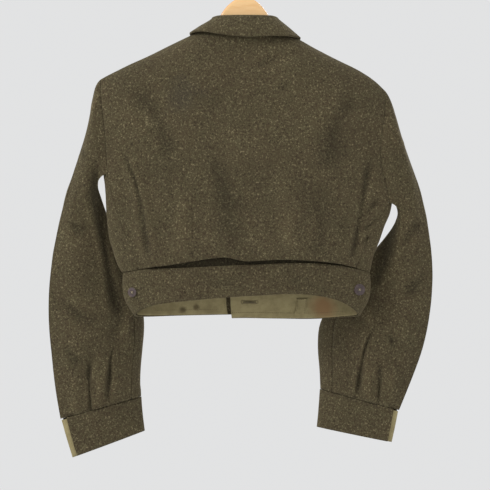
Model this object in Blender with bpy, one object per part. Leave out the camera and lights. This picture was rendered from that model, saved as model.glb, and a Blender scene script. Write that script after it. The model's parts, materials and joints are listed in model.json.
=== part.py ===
"""A short wool military blouse, empty and flat, hanging on a wooden hanger.

The front faces -Y and the back faces +Y, so the wearer's left is +X. The origin is the
inner top of the hanger's hook. Sizes are in millimetres and are scaled to metres when
a mesh is made. Each piece of cloth is a wall between an outer and an inner surface.
"""
import math
from collections import namedtuple

import bmesh
import bpy
from mathutils import Vector

MM = 0.001

# Cloth and seams
SERGE_WALL = 1.8
BAND_WALL = 2.6
COLLAR_WALL = 2.6
DRILL_WALL = 1.0
STRAP_WALL = 1.4
SEAM_GAP = 0.3
HALF_GAP = SEAM_GAP / 2.0 + 0.05
LAYER_GAP = 0.5

# Body of the blouse
BACK_ROUND = 2.6
FRONT_ROUND = 2.2
NECK_HALF = 62.0
NECK_DEPTH_BACK = 26.0
NECK_DEPTH_FRONT = 45.0
NECK_LOW_BACK = -125.0
NECK_LOW_FRONT = -185.0
NECK_ROUND = 4.0
NECK_FADE = 0.10
RIDGE_SHARE = 0.22
FOLD_CLEAR = 0.10
EDGE_FADE = 2.5
ARMHOLE_ROWS = 11
SIDE_ROWS = 9
NECK_COLUMNS = 4
SHOULDER_COLUMNS = 10
FRONT_NECK_COLUMNS = 11
LEFT_LAP = -20.0
RIGHT_LAP = 25.0
LAP_STEP = 3.6
LAP_RAMP = 40.0
BAND_STEP_START = 70.0

# Sleeves and cuffs
SLEEVE_ROUND = 2.3
SLEEVE_ROWS = 22
ARMHOLE_BLEND = 0.30
ARMHOLE_SEAM_TURN = math.radians(164.0)
CUFF_ROWS = 4
CUFF_COLUMNS = 26
PLEAT_HALF = 0.035

# Buttons
BUTTON_RADIUS = 9.5
BUTTON_THICK = 3.6
BUTTON_HOLE = 1.1
BUTTON_HOLE_OFFSET = 2.4
BAND_BUTTON_RISE = -0.4
CUFF_BUTTON_RISE = 0.8
CUFF_BUTTON_SHARE = 0.24

# Hanger
HANGER_THICK = 10.0
HANGER_EDGE = 3.0
HANGER_BELOW_RIDGE = 6.2
HANGER_DEEP = 36.0
HANGER_END = 204.0
CROWN_TOP = -57.0
CrownRow = namedtuple("CrownRow", "out height")
CROWN_ROWS = (
    CrownRow(0.0, CROWN_TOP),
    CrownRow(12.0, -59.5),
    CrownRow(22.0, -66.0),
    CrownRow(33.0, -76.0),
    CrownRow(42.0, -89.0),
    CrownRow(46.0, -98.0),
    CrownRow(49.0, -107.0),
    CrownRow(54.0, -114.0),
    CrownRow(62.0, -117.5),
)
CROWN_RIGHT_DROP = 4.5
HOOK_WIRE = 1.9
HOOK_INNER = 21.0
HOOK_START = -79.5
HOOK_END = 172.0

Finish = namedtuple("Finish", "colour roughness metallic")
FINISHES = {
    "wool_serge": Finish((84, 74, 52), 0.95, 0.0),
    "khaki_drill": Finish((122, 108, 72), 0.9, 0.0),
    "button_plastic": Finish((80, 66, 66), 0.45, 0.0),
    "hanger_wood": Finish((250, 205, 145), 0.4, 0.0),
    "hook_steel": Finish((190, 190, 188), 0.3, 1.0),
}

# Half widths and depths of the body, from the shoulder seam (0) to the waist seam (1)
TorsoRow = namedtuple("TorsoRow", "drop half_left half_right depth_back depth_front")
TORSO_ROWS = (
    TorsoRow(0.00, 243.0, 235.5, 33.0, 33.0),
    TorsoRow(0.12, 246.0, 240.0, 36.0, 36.0),
    TorsoRow(0.30, 245.0, 240.0, 40.0, 38.0),
    TorsoRow(0.45, 238.0, 241.0, 43.0, 40.0),
    TorsoRow(0.56, 233.0, 245.0, 45.0, 41.0),
    TorsoRow(0.66, 232.5, 244.0, 47.0, 42.0),
    TorsoRow(0.73, 231.0, 234.0, 48.0, 43.0),
    TorsoRow(0.82, 227.0, 225.0, 49.0, 44.0),
    TorsoRow(0.90, 219.0, 214.5, 51.0, 45.0),
    TorsoRow(0.965, 212.0, 210.5, 52.0, 46.0),
    TorsoRow(1.00, 204.5, 208.5, 48.0, 43.0),
)

# Height of the shoulder seam by the distance from the middle
ShoulderRow = namedtuple("ShoulderRow", "out left right")
SHOULDER_ROWS = (
    ShoulderRow(62.0, -108.7, -113.0),
    ShoulderRow(91.0, -122.3, -129.2),
    ShoulderRow(124.0, -138.0, -147.5),
    ShoulderRow(158.0, -155.5, -165.0),
    ShoulderRow(194.0, -171.2, -182.5),
    ShoulderRow(220.0, -184.5, -201.0),
    ShoulderRow(232.0, -190.0, -213.0),
    ShoulderRow(240.0, -195.0, -223.0),
)
SHOULDER_POINT = {1: 240.0, -1: 232.0}

# Height of the back panel's free hem, across the back
HemRow = namedtuple("HemRow", "across height")
BACK_HEM_ROWS = (
    HemRow(-209.0, -516.0),
    HemRow(-183.0, -508.0),
    HemRow(-155.0, -501.2),
    HemRow(-105.0, -496.0),
    HemRow(-60.0, -494.5),
    HemRow(-25.0, -496.0),
    HemRow(2.0, -497.0),
    HemRow(32.0, -490.5),
    HemRow(70.0, -494.7),
    HemRow(121.0, -503.0),
    HemRow(155.0, -507.2),
    HemRow(175.0, -511.0),
    HemRow(204.5, -516.0),
)
FRONT_HEM_GAP = 0.5
HEM_FLARE = 5.0
HEM_FLARE_HALF = 165.0

# The back panel's edges as seen from behind: the armhole, then the side seam
EdgeRow = namedtuple("EdgeRow", "height out")
BACK_ARMHOLE = {
    1: (EdgeRow(195.0, 240.0), EdgeRow(226.0, 239.0), EdgeRow(270.0, 233.5),
        EdgeRow(329.0, 229.0), EdgeRow(352.0, 228.0)),
    -1: (EdgeRow(213.0, 232.0), EdgeRow(240.0, 232.5), EdgeRow(266.0, 230.0),
         EdgeRow(300.0, 225.0), EdgeRow(329.0, 224.0), EdgeRow(352.0, 228.5),
         EdgeRow(380.0, 236.0), EdgeRow(400.0, 239.0)),
}
SIDE_SEAM = {
    1: (EdgeRow(352.0, 228.0), EdgeRow(388.0, 220.4), EdgeRow(438.6, 203.6),
        EdgeRow(489.0, 182.5), EdgeRow(511.0, 174.4)),
    -1: (EdgeRow(400.0, 239.0), EdgeRow(437.0, 214.5), EdgeRow(470.0, 199.7),
         EdgeRow(507.0, 183.0)),
}

# The front of the armhole, from the shoulder point (0) round to the side seam (1);
# a drop of 1 is the underarm, and a turn of 1 is the side seam's angle
ArmholeRow = namedtuple("ArmholeRow", "share angle turn drop")
FRONT_ARMHOLE = (
    ArmholeRow(0.00, 99.5, 0.0, 0.00),
    ArmholeRow(0.10, 104.0, 0.0, 0.04),
    ArmholeRow(0.30, 110.0, 0.0, 0.22),
    ArmholeRow(0.52, 113.0, 0.0, 0.52),
    ArmholeRow(0.70, 112.0, 0.0, 0.72),
    ArmholeRow(0.84, 105.0, 0.05, 0.87),
    ArmholeRow(0.93, 92.0, 0.40, 0.955),
    ArmholeRow(1.00, 80.0, 1.0, 1.00),
)

# Soft folds of the body: a line as seen from behind, its half width and its height
Fold = namedtuple("Fold", "face x_top z_top x_low z_low half height")
TORSO_FOLDS = (
    Fold("back", 203.0, -290.0, 150.0, -515.0, 11.0, 4.5),
    Fold("back", 216.0, -300.0, 168.0, -515.0, 9.0, -4.0),
    Fold("back", -200.0, -318.0, -168.0, -515.0, 11.0, 4.0),
    Fold("back", -214.0, -325.0, -184.0, -500.0, 9.0, -3.5),
    Fold("back", 32.0, -400.0, 32.0, -520.0, 34.0, 3.0),
    Fold("back", -95.0, -120.0, -40.0, -190.0, 16.0, -2.5),
    Fold("back", 20.0, -190.0, -70.0, -330.0, 30.0, 2.0),
    Fold("front", 150.0, -230.0, 120.0, -520.0, 20.0, 4.0),
    Fold("front", -140.0, -240.0, -110.0, -520.0, 20.0, 4.0),
    Fold("front", 75.0, -260.0, 60.0, -520.0, 24.0, -3.0),
    Fold("front", -70.0, -270.0, -55.0, -520.0, 24.0, -3.0),
)

# Waistband: its rings from the top (0) to the bottom (1), and its edges by angle
BandRow = namedtuple("BandRow", "share half_left half_right depth_back depth_front")
BAND_ROWS = (
    BandRow(0.0, 203.0, 207.5, 46.5, 42.0),
    BandRow(0.3, 204.5, 209.5, 48.0, 45.0),
    BandRow(0.6, 203.5, 209.0, 50.0, 48.0),
    BandRow(1.0, 184.0, 191.0, 53.0, 52.0),
)
BandEdge = namedtuple("BandEdge", "angle top_left low_left top_right low_right")
BAND_EDGES = (
    BandEdge(0.0, -502.5, -554.0, -502.5, -554.0),
    BandEdge(20.0, -507.0, -560.5, -499.0, -550.0),
    BandEdge(45.0, -509.0, -567.5, -504.0, -559.0),
    BandEdge(60.0, -512.5, -574.5, -509.5, -570.0),
    BandEdge(75.0, -514.8, -583.0, -513.5, -582.0),
    BandEdge(90.0, -516.6, -588.0, -516.6, -588.0),
    BandEdge(120.0, -523.0, -590.0, -523.0, -591.0),
    BandEdge(150.0, -532.0, -588.0, -532.0, -594.0),
    BandEdge(180.0, -537.0, -586.0, -537.0, -591.0),
)
BAND_SIDE_ANGLE = 101.0
BAND_COLUMNS_BACK = 29
BAND_COLUMNS_FRONT = 15
BAND_ROW_COUNT = 4
FACING_GAP = 0.9
FACING_SIDE_ANGLE = 102.0
FACING_LEFT_END = 32.0
FACING_LOW = 0.975
STRIP_LEFT = 158.0
STRIP_RIGHT = -160.0
STRIP_TOP = 24.0
STRIP_LOW = 14.0
STRAP_TOP = 0.42
STRAP_LOW = 0.86
STRAP_LEFT = -86.0
STRAP_LEAN = 3.2
STRAP_WIDE = 17.0
BAND_BUTTON = {1: (186.5, 0.56), -1: (-189.0, 0.56)}

# Sleeves: outer and inner edge as seen from behind, their depths, and half the thickness
SleeveRow = namedtuple("SleeveRow", "share outer_x outer_y outer_z inner_x inner_y inner_z half")
SLEEVE_LEFT = (
    SleeveRow(0.00, 240.0, 0.0, -195.0, 231.0, 0.0, -354.0, 19.0),
    SleeveRow(0.04, 248.0, 0.0, -204.0, 236.5, -1.0, -356.0, 21.0),
    SleeveRow(0.09, 253.0, 0.0, -224.0, 239.5, -2.0, -358.5, 23.0),
    SleeveRow(0.15, 257.5, -1.0, -252.0, 242.0, -4.0, -362.0, 25.0),
    SleeveRow(0.22, 265.0, -2.0, -286.0, 244.0, -8.0, -367.0, 26.0),
    SleeveRow(0.30, 279.0, -4.0, -330.0, 245.0, -16.0, -375.0, 27.0),
    SleeveRow(0.39, 297.0, -6.0, -390.0, 241.0, -30.0, -394.0, 28.0),
    SleeveRow(0.48, 312.0, -8.0, -447.0, 228.0, -47.0, -431.0, 29.0),
    SleeveRow(0.56, 322.0, -10.0, -500.0, 205.0, -59.0, -482.0, 28.0),
    SleeveRow(0.64, 327.0, -12.0, -551.0, 181.0, -64.0, -540.0, 27.0),
    SleeveRow(0.72, 327.0, -14.0, -602.0, 168.0, -62.0, -593.0, 27.0),
    SleeveRow(0.80, 323.0, -16.0, -648.0, 171.0, -58.0, -640.0, 26.0),
    SleeveRow(0.90, 316.5, -18.0, -707.0, 175.0, -53.0, -688.0, 24.0),
    SleeveRow(1.00, 308.0, -20.0, -760.0, 174.5, -48.0, -724.0, 18.0),
)
SLEEVE_RIGHT = (
    SleeveRow(0.00, -232.0, 0.0, -213.0, -241.0, 0.0, -404.0, 19.0),
    SleeveRow(0.04, -240.0, 0.0, -224.0, -246.5, -1.0, -406.0, 21.0),
    SleeveRow(0.09, -246.0, -1.0, -240.0, -250.0, -2.0, -408.5, 23.0),
    SleeveRow(0.15, -252.5, -2.0, -262.0, -252.5, -4.0, -412.0, 25.0),
    SleeveRow(0.22, -261.0, -3.0, -292.0, -254.0, -8.0, -416.0, 26.0),
    SleeveRow(0.30, -273.0, -4.0, -326.0, -254.0, -16.0, -422.0, 27.0),
    SleeveRow(0.39, -288.0, -6.0, -369.0, -250.0, -29.0, -434.0, 29.0),
    SleeveRow(0.48, -301.0, -8.0, -425.0, -234.0, -48.0, -460.0, 30.0),
    SleeveRow(0.56, -310.0, -10.0, -481.0, -203.0, -65.0, -496.0, 29.0),
    SleeveRow(0.64, -313.0, -12.0, -528.0, -165.0, -76.0, -540.0, 28.0),
    SleeveRow(0.72, -309.0, -15.0, -578.0, -130.0, -82.0, -586.0, 27.0),
    SleeveRow(0.80, -300.0, -18.0, -631.0, -123.0, -78.0, -634.0, 27.0),
    SleeveRow(0.90, -281.0, -22.0, -687.0, -126.0, -71.0, -677.0, 25.0),
    SleeveRow(1.00, -257.5, -26.0, -746.0, -127.0, -63.0, -712.0, 18.0),
)
SLEEVE_FOLDS = {
    1: (Fold("back", 274.0, -240.0, 281.0, -420.0, 13.0, -4.0),
        Fold("back", 214.0, -535.0, 206.0, -660.0, 16.0, -7.0),
        Fold("back", 228.0, -630.0, 221.0, -765.0, 4.5, -3.0),
        Fold("back", 261.0, -665.0, 257.0, -765.0, 4.5, -3.0),
        Fold("back", 292.0, -480.0, 258.0, -560.0, 18.0, 4.0),
        Fold("front", 300.0, -470.0, 235.0, -560.0, 16.0, -6.0),
        Fold("front", 300.0, -590.0, 230.0, -520.0, 16.0, -5.0),
        Fold("front", 258.0, -680.0, 262.0, -765.0, 5.0, -3.0)),
    -1: (Fold("back", -252.0, -245.0, -268.0, -300.0, 7.0, 3.5),
         Fold("back", -232.0, -480.0, -262.0, -620.0, 18.0, -7.0),
         Fold("back", -200.0, -640.0, -186.5, -750.0, 4.5, -3.0),
         Fold("back", -222.0, -660.0, -223.0, -750.0, 4.5, -3.0),
         Fold("back", -285.0, -560.0, -238.0, -640.0, 16.0, 4.0),
         Fold("front", -290.0, -470.0, -215.0, -560.0, 16.0, -6.0),
         Fold("front", -285.0, -600.0, -200.0, -530.0, 16.0, -5.0),
         Fold("front", -215.0, -670.0, -220.0, -750.0, 5.0, -3.0)),
}
PLEAT_SHARES = {1: (0.376, 0.620), -1: (0.263, 0.543)}
INNER_SEAM_SHARE = {1: 0.867, -1: 0.829}

# Cuffs: outer and inner edge of the top and bottom rings
CuffRow = namedtuple("CuffRow", "share outer_x outer_y outer_z inner_x inner_y inner_z half")
CUFF_LEFT = (
    CuffRow(0.0, 310.0, -20.0, -761.0, 173.5, -48.0, -724.4, 16.0),
    CuffRow(0.5, 301.5, -20.5, -792.0, 171.5, -46.5, -752.5, 16.0),
    CuffRow(1.0, 291.0, -21.0, -825.5, 167.8, -45.0, -781.0, 15.0),
)
CUFF_RIGHT = (
    CuffRow(0.0, -259.5, -26.0, -746.8, -125.8, -63.0, -712.4, 16.0),
    CuffRow(0.5, -254.5, -27.0, -773.0, -123.5, -61.5, -744.0, 16.0),
    CuffRow(1.0, -248.5, -28.0, -800.0, -120.5, -60.0, -775.5, 15.0),
)
CUFF_BACK_END = {1: 0.078, -1: 0.068}
CUFF_FRONT_END = 0.05
CUFF_FACING_REACH = 0.20
CUFF_FACING_IN = 3.4
CUFF_FACING_GAP = 2.2

# Collar: the fold's middle line and the fall's lower edge, by angle from the back
CollarRow = namedtuple("CollarRow", "angle fold_x fold_y fold_z edge_x edge_y left_z right_z")
COLLAR_ROWS = (
    CollarRow(0.0, 0.0, 25.5, -93.9, 0.0, 37.0, -127.0, -127.0),
    CollarRow(25.0, 22.0, 23.5, -93.9, 42.0, 35.0, -122.0, -125.0),
    CollarRow(50.0, 39.0, 17.0, -93.9, 70.0, 25.0, -116.5, -124.5),
    CollarRow(70.0, 47.5, 9.0, -94.4, 86.0, 13.0, -117.5, -126.0),
    CollarRow(90.0, 53.0, -2.0, -97.5, 92.0, -2.0, -119.0, -126.5),
    CollarRow(115.0, 49.0, -20.0, -112.0, 86.0, -25.0, -133.0, -140.0),
    CollarRow(140.0, 37.0, -38.0, -140.0, 70.0, -43.0, -164.0, -171.0),
    CollarRow(158.0, 23.0, -50.0, -160.0, 54.0, -51.0, -196.0, -201.0),
    CollarRow(171.0, 12.0, -54.0, -170.0, 40.0, -52.0, -222.0, -226.0),
)
COLLAR_END_ANGLE = 171.0
COLLAR_TURN = 3.4
COLLAR_COLUMNS = 35
COLLAR_RISE = 2.2


def linear_colour(value):
    """Turns a 0 to 255 display colour into Blender's linear colour."""
    share = value / 255.0
    if share <= 0.04045:
        return share / 12.92
    return ((share + 0.055) / 1.055) ** 2.4


def make_material(name):
    finish = FINISHES[name]
    material = bpy.data.materials.new(name)
    material.use_nodes = True
    shader = material.node_tree.nodes["Principled BSDF"]
    red, green, blue = (linear_colour(part) for part in finish.colour)
    shader.inputs["Base Color"].default_value = (red, green, blue, 1.0)
    shader.inputs["Roughness"].default_value = finish.roughness
    shader.inputs["Metallic"].default_value = finish.metallic
    material.diffuse_color = (red, green, blue, 1.0)
    return material


def lerp(start, end, share):
    return start + (end - start) * share


def clamp(value, low=0.0, high=1.0):
    return max(low, min(high, value))


def ease(share):
    share = clamp(share)
    return share * share * (3.0 - 2.0 * share)


def signed_power(value, power):
    return math.copysign(abs(value) ** power, value)


def side_of(value):
    return 1 if value >= 0.0 else -1


def read_row(rows, key, column, value):
    """Reads a table's column where its key has the value, on a smooth curve."""
    keys = [getattr(row, key) for row in rows]
    data = [getattr(row, column) for row in rows]
    if value <= keys[0]:
        return data[0]
    if value >= keys[-1]:
        return data[-1]
    first = max(index for index in range(len(keys) - 1) if keys[index] <= value)

    def slope(index):
        low, high = max(index - 1, 0), min(index + 1, len(keys) - 1)
        return (data[high] - data[low]) / (keys[high] - keys[low])

    span = keys[first + 1] - keys[first]
    share = (value - keys[first]) / span
    square, cube = share ** 2, share ** 3
    return ((2 * cube - 3 * square + 1) * data[first]
            + (cube - 2 * square + share) * span * slope(first)
            + (3 * square - 2 * cube) * data[first + 1]
            + (cube - square) * span * slope(first + 1))


def fold_height(folds, face, x, z):
    """Adds up the folds of one face at a point seen from behind."""
    total = 0.0
    for fold in folds:
        if fold.face != face:
            continue
        run = Vector((fold.x_low - fold.x_top, fold.z_low - fold.z_top))
        place = Vector((x - fold.x_top, z - fold.z_top))
        along = place.dot(run) / run.length_squared
        off = abs(place.x * run.y - place.y * run.x) / run.length
        fade = ease(along / 0.25) * ease((1.15 - along) / 0.25)
        total += fold.height * math.exp(-(off / fold.half) ** 2) * fade
    return total


def shoulder_height(x):
    column = "left" if x >= 0.0 else "right"
    return read_row(SHOULDER_ROWS, "out", column, abs(x))


def top_height(x, is_back):
    """Height of the top edge: the neck curve, then the shoulder seam."""
    if abs(x) >= NECK_HALF:
        return shoulder_height(x)
    low = NECK_LOW_BACK if is_back else NECK_LOW_FRONT
    neck_point = shoulder_height(math.copysign(NECK_HALF, x))
    return low + (neck_point - low) * (abs(x) / NECK_HALF) ** 2


def hem_height(x, angle):
    """Height of the low edge: the back's free hem, or the front's seam to the band."""
    if math.cos(angle) >= 0.0:
        return read_row(BACK_HEM_ROWS, "across", "height", x)
    return band_height(angle, 0.0, side_of(math.sin(angle))) + FRONT_HEM_GAP


def torso_width(drop, side):
    column = "half_left" if side > 0 else "half_right"
    return read_row(TORSO_ROWS, "drop", column, drop)


def torso_point(angle, drop):
    """Outer surface of the body; the angle runs from the back's middle to the left."""
    across, along = math.sin(angle), math.cos(angle)
    is_back = along >= 0.0
    power = 2.0 / (BACK_ROUND if is_back else FRONT_ROUND)
    side = side_of(across)
    x = torso_width(drop, side) * signed_power(across, power)
    x_top = torso_width(0.0, side) * signed_power(across, power)
    z = lerp(top_height(x_top, is_back), hem_height(x, angle), drop)
    column = "depth_back" if is_back else "depth_front"
    ridge = math.sqrt(1.0 - (1.0 - clamp(drop / RIDGE_SHARE)) ** 2)
    depth = read_row(TORSO_ROWS, "drop", column, drop) * ridge * abs(along) ** power
    neck_depth = NECK_DEPTH_BACK if is_back else NECK_DEPTH_FRONT
    neck = neck_depth * (1.0 - clamp(abs(x_top) / NECK_HALF) ** NECK_ROUND)
    depth = math.hypot(depth, neck * math.exp(-drop / NECK_FADE))
    face = "back" if is_back else "front"
    clear = ease(abs(along) / 0.5) * ease(drop / FOLD_CLEAR)
    depth += fold_height(TORSO_FOLDS, face, x, z) * clear
    if is_back:
        reach = ease((HEM_FLARE_HALF - abs(x)) / 30.0)
        depth += HEM_FLARE * reach * ease((drop - 0.86) / 0.14)
    return Vector((x, depth if is_back else -depth, z))


def surface_normal(surface, first, second, step_first, step_second):
    """Outward normal of a surface whose second value runs from 0 at the top to 1."""
    low, high = clamp(second - step_second), clamp(second + step_second)
    across = surface(first + step_first, second) - surface(first - step_first, second)
    down = surface(first, high) - surface(first, low)
    return across.cross(down).normalized()


def torso_normal(angle, drop):
    return surface_normal(torso_point, angle, drop, math.radians(0.4), 0.002)


def back_angle(x, drop):
    """Angle of the back's surface at a distance across."""
    side = side_of(x)
    share = clamp(abs(x) / torso_width(drop, side))
    return side * math.asin(share ** (BACK_ROUND / 2.0))


def front_angle(x, drop):
    side = side_of(x)
    share = clamp(abs(x) / torso_width(drop, side))
    return side * (math.pi - math.asin(share ** (FRONT_ROUND / 2.0)))


def locate_back(x, z):
    """Angle and drop of a point of the back that is given as seen from behind."""
    drop = 0.5
    for _ in range(30):
        angle = back_angle(x, drop)
        x_top = torso_point(angle, 0.0).x
        top, low = top_height(x_top, True), hem_height(x, angle)
        drop = clamp((z - top) / (low - top))
    return back_angle(x, drop), drop


def row_share(row):
    """Share of the armhole's or the side seam's length at a row, closer at the ends."""
    if row <= ARMHOLE_ROWS:
        return (row / ARMHOLE_ROWS) ** 1.4
    return 1.0 - (1.0 - (row - ARMHOLE_ROWS) / SIDE_ROWS) ** 1.3


def back_edge(side):
    """Angle and drop of the back panel's edge at each row."""
    edge = []
    for row in range(ARMHOLE_ROWS + SIDE_ROWS + 1):
        table = BACK_ARMHOLE[side] if row <= ARMHOLE_ROWS else SIDE_SEAM[side]
        height = lerp(table[0].height, table[-1].height, row_share(row))
        out = read_row(table, "height", "out", height)
        edge.append(locate_back(side * out, -height))
    edge[0] = (back_angle(side * SHOULDER_POINT[side], 0.0), 0.0)
    edge[-1] = (edge[-1][0], 1.0)
    return edge


def front_edge(side):
    """Angle and drop of a front panel's outer edge at each row."""
    seam = back_edge(side)
    seam_angle, under = seam[ARMHOLE_ROWS]
    edge = []
    for row in range(ARMHOLE_ROWS):
        share = row / ARMHOLE_ROWS
        angle = side * math.radians(read_row(FRONT_ARMHOLE, "share", "angle", share))
        turn = read_row(FRONT_ARMHOLE, "share", "turn", share)
        drop = under * read_row(FRONT_ARMHOLE, "share", "drop", share)
        edge.append((lerp(angle, seam_angle, clamp(turn)), drop))
    edge[0] = (front_angle(side * SHOULDER_POINT[side], 0.0), 0.0)
    return edge + seam[ARMHOLE_ROWS:]


def column_shares():
    """Shares of the way from the middle to the edge of the back's columns."""
    neck = [0.26 * index / NECK_COLUMNS for index in range(NECK_COLUMNS)]
    rest = [1.0 - (1.0 - index / SHOULDER_COLUMNS) ** 1.15 * 0.74
            for index in range(SHOULDER_COLUMNS + 1)]
    return neck + rest


def shoulder_columns(side):
    """Distances across of the columns that meet at the shoulder seam, neck first."""
    shares = column_shares()[NECK_COLUMNS:]
    reach = SHOULDER_POINT[side]
    return [side * lerp(NECK_HALF, reach, (share - shares[0]) / (1.0 - shares[0]))
            for share in shares]


def fill_patch(top, low, left, right, downs):
    """Fills a patch of angles and drops; the edges' own course fades out inwards."""
    columns = len(top)
    patch = []
    for row, down in enumerate(downs):
        line = []
        for column in range(columns):
            across = column / (columns - 1)
            pair = []
            for part in range(2):
                value = lerp(top[column][part], low[column][part], down)
                off = left[row][part] - lerp(top[0][part], low[0][part], down)
                value += off * (1.0 - across) ** EDGE_FADE
                off = right[row][part] - lerp(top[-1][part], low[-1][part], down)
                pair.append(value + off * across ** EDGE_FADE)
            line.append((pair[0], clamp(pair[1])))
        patch.append(line)
    return patch


def spread_angles(start, end, count, drop):
    """Angles between two angles, the same distance apart along the body's ring."""
    steps = 240
    angles = [lerp(start, end, index / steps) for index in range(steps + 1)]
    points = [torso_point(angle, drop) for angle in angles]
    length = [0.0]
    for index in range(steps):
        length.append(length[-1] + (points[index + 1] - points[index]).length)
    spread, index = [], 0
    for number in range(count):
        target = length[-1] * number / (count - 1)
        while index < steps - 1 and length[index + 1] < target:
            index += 1
        span = length[index + 1] - length[index]
        spread.append(lerp(angles[index], angles[index + 1], (target - length[index]) / span))
    return spread


def back_patch():
    shares = column_shares()
    edge = {side: back_edge(side) for side in (1, -1)}
    top, low = [], []
    for side in (-1, 1):
        across = [side * NECK_HALF * index / NECK_COLUMNS for index in range(NECK_COLUMNS)]
        across += shoulder_columns(side)
        top_half = [(back_angle(x, 0.0), 0.0) for x in across]
        hem_out = torso_point(*edge[side][-1]).x
        low_half = [(back_angle(hem_out * share, 1.0), 1.0) for share in shares]
        if side < 0:
            top, low = top_half[:0:-1], low_half[:0:-1]
        else:
            top, low = top + top_half, low + low_half
    downs = [(edge[1][row][1] + edge[-1][row][1]) / 2.0 for row in range(len(edge[1]))]
    return fill_patch(top, low, edge[-1], edge[1], downs)


def front_patch(side):
    lap = LEFT_LAP if side > 0 else RIGHT_LAP
    edge = front_edge(side)
    across = shoulder_columns(side)[::-1]
    steps = range(1, FRONT_NECK_COLUMNS + 1)
    across += [lerp(side * NECK_HALF, lap, index / FRONT_NECK_COLUMNS) for index in steps]
    top = [(wrap_front(front_angle(x, 0.0), side), 0.0) for x in across]
    low_end = wrap_front(front_angle(lap, 1.0), side)
    low = [(angle, 1.0) for angle in spread_angles(edge[-1][0], low_end, len(across), 1.0)]
    downs = [place[1] for place in back_edge(side)]
    lap_edge = [(wrap_front(front_angle(lap, drop), side), drop) for drop in downs]
    return fill_patch(top, low, edge, lap_edge, downs)


def wrap_front(angle, side):
    """Counts an angle past the front's middle on from the panel's own side."""
    if side_of(angle) != side:
        return angle + side * 2.0 * math.pi
    return angle


def lap_inset(x, side):
    """The right front lies under the left one, so it steps in near the middle."""
    if side > 0:
        return 0.0
    return LAP_STEP * ease((x + LAP_RAMP - LEFT_LAP) / LAP_RAMP + 0.6)


def trim_edges(points, amount, sides="tblr"):
    """Moves the edges of a grid of points back by an amount along its surface."""
    rows, columns = len(points), len(points[0])
    trimmed = [list(line) for line in points]

    def pull(row, column, next_row, next_column, back_row, back_column, on_row, on_column):
        inward = points[next_row][next_column] - points[row][column]
        run = points[on_row][on_column] - points[back_row][back_column]
        inward -= run * (inward.dot(run) / max(run.length_squared, 1e-9))
        trimmed[row][column] = trimmed[row][column] + inward.normalized() * amount

    for column in range(columns):
        before, after = max(column - 1, 0), min(column + 1, columns - 1)
        if "t" in sides:
            pull(0, column, 1, column, 0, before, 0, after)
        if "b" in sides:
            pull(rows - 1, column, rows - 2, column, rows - 1, before, rows - 1, after)
    for row in range(rows):
        before, after = max(row - 1, 0), min(row + 1, rows - 1)
        if "l" in sides:
            pull(row, 0, row, 1, before, 0, after, 0)
        if "r" in sides:
            pull(row, columns - 1, row, columns - 2, before, columns - 1, after, columns - 1)
    return trimmed


def wall_object(name, outer, inner, material):
    """Makes a closed wall between two grids of points.

    Its edge is split from each pair's higher point, so that two edges at a seam match.
    """
    rows, columns = len(outer), len(outer[0])
    count = rows * columns
    points = [point * MM for grid in (outer, inner) for line in grid for point in line]

    def at(row, column, layer):
        return layer * count + row * columns + column

    faces = []
    for row in range(rows - 1):
        for column in range(columns - 1):
            corners = ((row, column), (row, column + 1), (row + 1, column + 1), (row + 1, column))
            faces.append([at(*corner, 0) for corner in corners])
            faces.append([at(*corner, 1) for corner in reversed(corners)])
    rim = [(0, column) for column in range(columns)]
    rim += [(row, columns - 1) for row in range(1, rows)]
    rim += [(rows - 1, column) for column in range(columns - 2, -1, -1)]
    rim += [(row, 0) for row in range(rows - 2, 0, -1)]
    for index, corner in enumerate(rim):
        after = rim[(index + 1) % len(rim)]
        high, low = sorted((corner, after), key=lambda place: -outer[place[0]][place[1]].z)
        faces.append([at(*high, 0), at(*high, 1), at(*low, 1)])
        faces.append([at(*high, 0), at(*low, 1), at(*low, 0)])
    mesh = bpy.data.meshes.new(name)
    mesh.from_pydata(points, [], faces)
    return finish_object(name, mesh, material)


def finish_object(name, mesh, material):
    """Turns the faces outward, shades them smooth and links the object."""
    shape = bmesh.new()
    shape.from_mesh(mesh)
    bmesh.ops.recalc_face_normals(shape, faces=shape.faces)
    shape.to_mesh(mesh)
    shape.free()
    mesh.shade_smooth()
    mesh.set_sharp_from_angle(angle=math.radians(40.0))
    mesh.materials.append(material)
    piece = bpy.data.objects.new(name, mesh)
    bpy.context.collection.objects.link(piece)
    return piece


def offset_grid(points, normals, amount):
    return [[point + normal * amount for point, normal in zip(*lines)]
            for lines in zip(points, normals)]


def torso_panel(patch, side):
    """Points and normals of a panel of the body."""
    points, normals = [], []
    for line in patch:
        normals.append([torso_normal(*place) for place in line])
        row = [torso_point(*place) for place in line]
        if side < 0:
            row = [point - normal * lap_inset(point.x, side) * (point.y < 0.0)
                   for point, normal in zip(row, normals[-1])]
        points.append(row)
    return points, normals


def sleeve_tables(side):
    return SLEEVE_LEFT if side > 0 else SLEEVE_RIGHT


def tube_point(table, share, turn, round_power):
    """Point of a flattened tube; a turn of 0 is its outer edge and 90 degrees its back."""
    def read(column):
        return read_row(table, "share", column, share)

    outer = Vector((read("outer_x"), read("outer_y"), read("outer_z")))
    inner = Vector((read("inner_x"), read("inner_y"), read("inner_z")))
    centre, reach = (outer + inner) / 2.0, (outer - inner) / 2.0
    across = Vector((reach.x, 0.0, reach.z)).normalized()
    back = Vector((0.0, 1.0, 0.0))
    tilt = math.atan2(reach.y, Vector((reach.x, reach.z)).length)
    back = back * math.cos(tilt) - across * math.sin(tilt)
    power = 2.0 / round_power
    return (centre + reach * signed_power(math.cos(turn), power)
            + back * read("half") * signed_power(math.sin(turn), power))


def turn_at(share_across, round_power=SLEEVE_ROUND):
    """Turn of the back half of a tube at a share of its width from the outer edge."""
    cosine = 1.0 - 2.0 * share_across
    return math.acos(signed_power(abs(cosine), round_power / 2.0) * side_of(cosine))


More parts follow.
